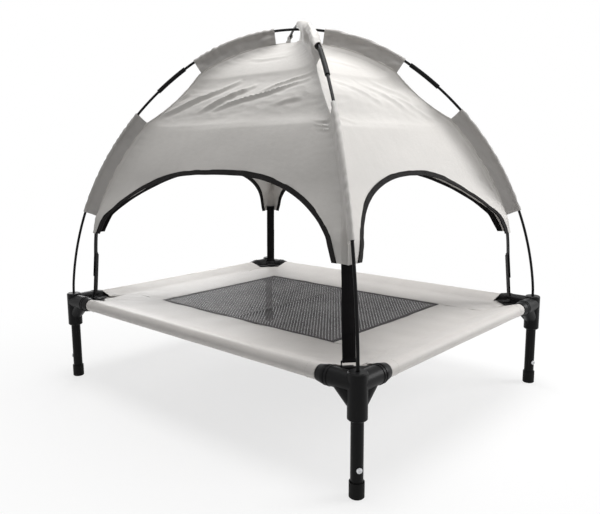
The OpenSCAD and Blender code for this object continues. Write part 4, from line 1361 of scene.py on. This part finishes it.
class COT_OT_bed_cover(bpy.types.Operator):
    """Builds the four cover pieces, each drawn over its rail and sewn back under itself"""

    bl_idname = "cot.bed_cover"
    bl_label = "Bed Cover"

    stations = 120
    clear = 0.0003
    # A gusset's distance from the rails' axes, and its lap under the cover.
    gusset_clear = 0.0222
    gusset_lap = 0.015
    # Points on the flat, on its rise to the rail, round the rail and under it.
    flat_n, rise_n, over_n, under_n = 26, 10, 34, 8
    # Width of the hem at a sleeve's ends, its height, and the run of its step.
    hem_w = 0.020
    hem_h = 0.0004
    hem_run = 0.0008
    # Height, wavelength and number of waves: over the cloth, and where the corners pull it.
    uneven = 0.0004, 0.09, 6
    pulled = 0.0007, 0.05, 5

    def profile(self, inner):
        """Outer line of the cover: inward place and height, from the mesh over the rail to the seam below."""
        bed = sizes("bed")
        r, reach = bed.sleeve_r, bed.seam
        top = COVER_TOP - RAIL_Z
        touch = math.degrees(math.acos(r / reach))
        slope = np.array([math.cos(math.radians(touch)), math.sin(math.radians(touch))]) * r
        flat = np.linspace((inner, top), (reach + 0.010, top), self.flat_n)
        rise = np.linspace((reach - 0.004, top + 0.0009), slope, self.rise_n)
        over = bent((0, 0), r, touch, 360 - touch, self.over_n)[1:]
        under = np.linspace((slope[0], -slope[1]), (reach, -top - bed.cover_t * 0.6), self.under_n)[1:]
        return np.concatenate([flat, rise, over, under])

    def piece(self, j, gussets):
        """The cover over rail j; the gussets argument is not used."""
        bed = sizes("bed")
        side = BedSide(j)
        mesh_half = bed.mesh_y / 2 if side.long else bed.mesh_x / 2
        line = self.profile(side.off - mesh_half - self.clear)
        drop = np.gradient(line, axis=0)
        normal = unit(np.stack([drop[:, 1], -drop[:, 0]], axis=-1))
        lay = run_lengths(line)
        is_top = np.arange(len(line)) < self.flat_n + self.rise_n
        sleeve_half = side.half - bed.sleeve_end
        flat_half = HALF_X - bed.seam - self.clear if side.long else bed.mesh_y / 2 - self.clear
        widen = ease(share(line[:, 0], bed.seam - 0.006, bed.seam + 0.008)) * is_top
        half = sleeve_half + (flat_half - sleeve_half) * widen
        v = np.sin(spread(self.stations) * 0.96) / math.sin(math.pi / 2 * 0.96)
        x = v[:, None] * half
        y = np.broadcast_to(line[:, 0], x.shape)
        hem = np.exp(-np.maximum(0, sleeve_half - self.hem_w - np.abs(x)) / self.hem_run) * (y < bed.seam)
        corner = np.exp(-(1 - np.abs(v[:, None])) * 6) * (y > bed.seam * 0.7)
        relief = (waves(self.uneven, x, lay[None] * np.ones_like(x), 101 + j) * (0.3 + is_top)
                  + waves(self.pulled, x * 0.5 + y, x - y, 111 + j) * corner + self.hem_h * hem)
        layers = []
        for deep in (0, bed.cover_t):
            py = y + normal[:, 0] * (relief - deep)
            pz = line[:, 1] + normal[:, 1] * (relief - deep)
            flat = side.place(x, py, pz)
            flat[..., 2] += bed_drop(flat[..., 0], flat[..., 1]) * (y > bed.seam * 0.9)
            layers.append(flat)
        cloth = np.stack([x, np.broadcast_to(lay, x.shape)], axis=-1).reshape(-1, 2)
        name = SIDES[j]
        made = make_piece("bed_cover_" + name, *sheet_solid(*layers), np.concatenate([cloth, cloth]),
                          "cover_cloth", "cover_cloth", "cot", ["cover_" + name])

    def gusset(self, i):
        """The flat cloth under a corner band, between the two rail sleeves."""
        bed, cut = sizes("bed"), band_cut()
        near, far, seam = self.gusset_clear, bed.sleeve_end + self.gusset_lap, bed.seam + 0.002
        plan = np.array([(near, cut - near), (cut - near, near), (far, near), (far, seam), (seam, far),
                         (near, far)])
        x, y = quarter_turned(i, *plan.T)
        height = np.full(len(plan), COVER_TOP - bed.cover_t - self.clear)
        top = np.stack([LEGS[i][0] + x, LEGS[i][1] + y, height], axis=-1)
        return *sweep(np.stack([top, top - UP * bed.cover_t])), np.concatenate([plan, plan])

    def execute(self, context):
        for j in (0, 2):
            parts = join_meshes([self.gusset(j), self.gusset(j + 1)])
            gussets = make_piece("corner_gussets_" + SIDES[j], *parts, "cover_cloth", "cover_cloth", "cot")
            self.piece(j, [gussets])
            self.piece(j + 1, [])
        return {"FINISHED"}


class COT_OT_bed_mesh(bpy.types.Operator):
    """Weaves the open mesh centre from slanting strands, with a plain hem round it"""

    bl_idname = "cot.bed_mesh"
    bl_label = "Bed Mesh"

    strand_t = 0.0007
    hem_t = 0.0011
    # Depths of the strands' and the hem's middles below the cover's top.
    strand_deep = 0.0008
    hem_deep = 0.0006

    def strands(self, bed, lean):
        """Strands one way; each goes over and under the strands that cross it."""
        reach_x, reach_y = bed.mesh_x / bed.hole_x, bed.mesh_y / bed.hole_y
        step = math.hypot(bed.hole_x, bed.hole_y) / 2
        across = np.array([bed.hole_y, lean * bed.hole_x]) / (2 * step)
        outline = np.array([[-0.5, 0], [-0.2, 0.5], [0.2, 0.5], [0.5, 0], [0.2, -0.5], [-0.2, -0.5]])
        last = int(reach_x + reach_y) // 2
        parts = []
        for n in range(-last, last + 1):
            low, high = max(-reach_x - n, n - reach_y), min(reach_x - n, n + reach_y)
            if high - low < 2:
                continue
            run = np.concatenate([[low], np.arange(math.floor(2 * low) + 1, 2 * high) / 2, [high]])
            centre = np.stack([(n + run) * bed.hole_x / 2, lean * (n - run) * bed.hole_y / 2], axis=-1)
            wave = lean * np.cos(math.pi * (run + n))
            flat = centre[:, None] + bed.strand_w * outline[None, :, :1] * across
            x = np.clip(flat[..., 0], -bed.mesh_x / 2, bed.mesh_x / 2)
            y = np.clip(flat[..., 1], -bed.mesh_y / 2, bed.mesh_y / 2)
            height = 0.55 * self.strand_t * wave[:, None] + self.strand_t * outline[None, :, 1]
            sections = np.stack([x, y, COVER_TOP - self.strand_deep + height + bed_drop(x, y)], axis=-1)
            # The cloth coordinate along a strand is an odd number of steps where it crosses over.
            along = (run + n + (lean > 0)) * step
            cloth = np.stack(np.meshgrid(outline[:, 0] * bed.strand_w, along), axis=-1).reshape(-1, 2)
            parts.append((*sweep(sections), cloth))
        return parts

    def hem(self, bed):
        """Four plain strips along the edges of the mesh."""
        parts = []
        half = np.array([bed.mesh_x, bed.mesh_y]) / 2
        for axis in (0, 1):
            for end in (-1, 1):
                plan = np.linspace(-half, half, 90)
                plan[:, 1 - axis] = end * (half[1 - axis] - bed.hem_w / 2)
                path = np.column_stack([plan, COVER_TOP - self.hem_deep + bed_drop(*plan.T)])
                parts.append(ribbon(path, np.eye(3)[1 - axis], bed.hem_w, self.hem_t))
        return parts

    def execute(self, context):
        bed = sizes("bed")
        parts = self.strands(bed, 1) + self.strands(bed, -1)
        net = make_piece("bed_mesh", *join_meshes(parts), "mesh_yarn", "mesh_cloth", "cot", ["mesh_centre"])
        hem = make_piece("bed_mesh_hem", *join_meshes(self.hem(bed)), "mesh_hem", "mesh_cloth", "cot")
        return {"FINISHED"}


class COT_OT_stitching(bpy.types.Operator):
    """Sews the visible seams of the canopy and of the bed"""

    bl_idname = "cot.stitching"
    bl_label = "Stitching"

    # Distances of the seams from the ridges, the mesh's edge and the ends of the rail sleeves.
    ridge_off = 0.008
    mesh_off = 0.006
    hem_off = 0.020
    # Heights of the thread over the panels, the bed and the rail sleeves.
    panel_lift = 0.0004
    bed_lift = 0.0003
    sleeve_lift = 0.0005
    # Where the sleeves' seams start and stop round the rail, in degrees.
    round_rail = 74, 250

    def canopy_runs(self):
        """Seams beside the ridges, where the sleeves are sewn in."""
        canopy = Canopy()
        runs = []
        for j in range(4):
            for sign, i in ((-1, j), (1, (j + 1) % 4)):
                pole = canopy.poles[i % 2]
                for span in (pole.upper, pole.lower):
                    along = np.linspace(*span, 120) * canopy.panel_l / pole.tip
                    u = sign * (1 - self.ridge_off / canopy.half_width(j, along))
                    face = canopy.panel_out(j, along)
                    runs.append(stitch_run(canopy.panel(j, u, along) + face * self.panel_lift, face))
        return runs

    def bed_runs(self):
        """Seams round the mesh and at the ends of the rail sleeves."""
        bed = sizes("bed")
        runs = []
        corners = CORNER_SIGNS * (bed.mesh_x / 2 + self.mesh_off, bed.mesh_y / 2 + self.mesh_off)
        for j in range(4):
            plan = np.linspace(corners[j], corners[(j + 1) % 4], 60)
            path = np.column_stack([plan, COVER_TOP + bed_drop(*plan.T) + self.bed_lift])
            runs.append(stitch_run(path, np.broadcast_to(UP, path.shape)))
        for j in range(4):
            side = BedSide(j)
            ring = bent((0, 0), bed.sleeve_r + self.sleeve_lift, *self.round_rail, 40)
            for end in (-1, 1):
                x = end * (side.half - bed.sleeve_end - self.hem_off)
                path = side.place(x, *ring.T)
                runs.append(stitch_run(path, unit(path - side.place(x, 0, 0))))
        return runs

    def execute(self, context):
        make_piece("canopy_stitching", *join_meshes(self.canopy_runs()), "thread", "canopy_cloth", "canopy")
        make_piece("bed_stitching", *join_meshes(self.bed_runs()), "thread", "cover_cloth", "cot")
        return {"FINISHED"}


OPERATORS = (COT_OT_stage, COT_OT_hardware, COT_OT_poles, COT_OT_canopy_panels, COT_OT_pole_sleeves,
             COT_OT_edge_tapes, COT_OT_straps, COT_OT_corner_webbing, COT_OT_bed_cover, COT_OT_bed_mesh,
             COT_OT_stitching)
GROUPS = {"canopy": CanopySizes, "bed": BedSizes, "strap": StrapSizes, "colours": FinishColours,
          "stage": StageLook}


class COT_PT_sidebar(bpy.types.Panel):
    """The cot's pieces and stage"""

    bl_idname = "COT_PT_sidebar"
    bl_label = "Raised Pet Cot"
    bl_space_type = "VIEW_3D"
    bl_region_type = "UI"
    bl_category = "Cot"

    def draw(self, context):
        for operator in OPERATORS:
            self.layout.operator(operator.bl_idname)


CLASSES = (*GROUPS.values(), *OPERATORS, COT_PT_sidebar)


def register():
    for made in CLASSES:
        bpy.utils.register_class(made)
    for name, group in GROUPS.items():
        setattr(bpy.types.Scene, "cot_" + name, PointerProperty(type=group))


def unregister():
    for name in GROUPS:
        delattr(bpy.types.Scene, "cot_" + name)
    for made in reversed(CLASSES):
        bpy.utils.unregister_class(made)


def main():
    register()
    for operator in OPERATORS:
        group, name = operator.bl_idname.split(".")
        getattr(getattr(bpy.ops, group), name)()


if __name__ == "__main__":
    main()
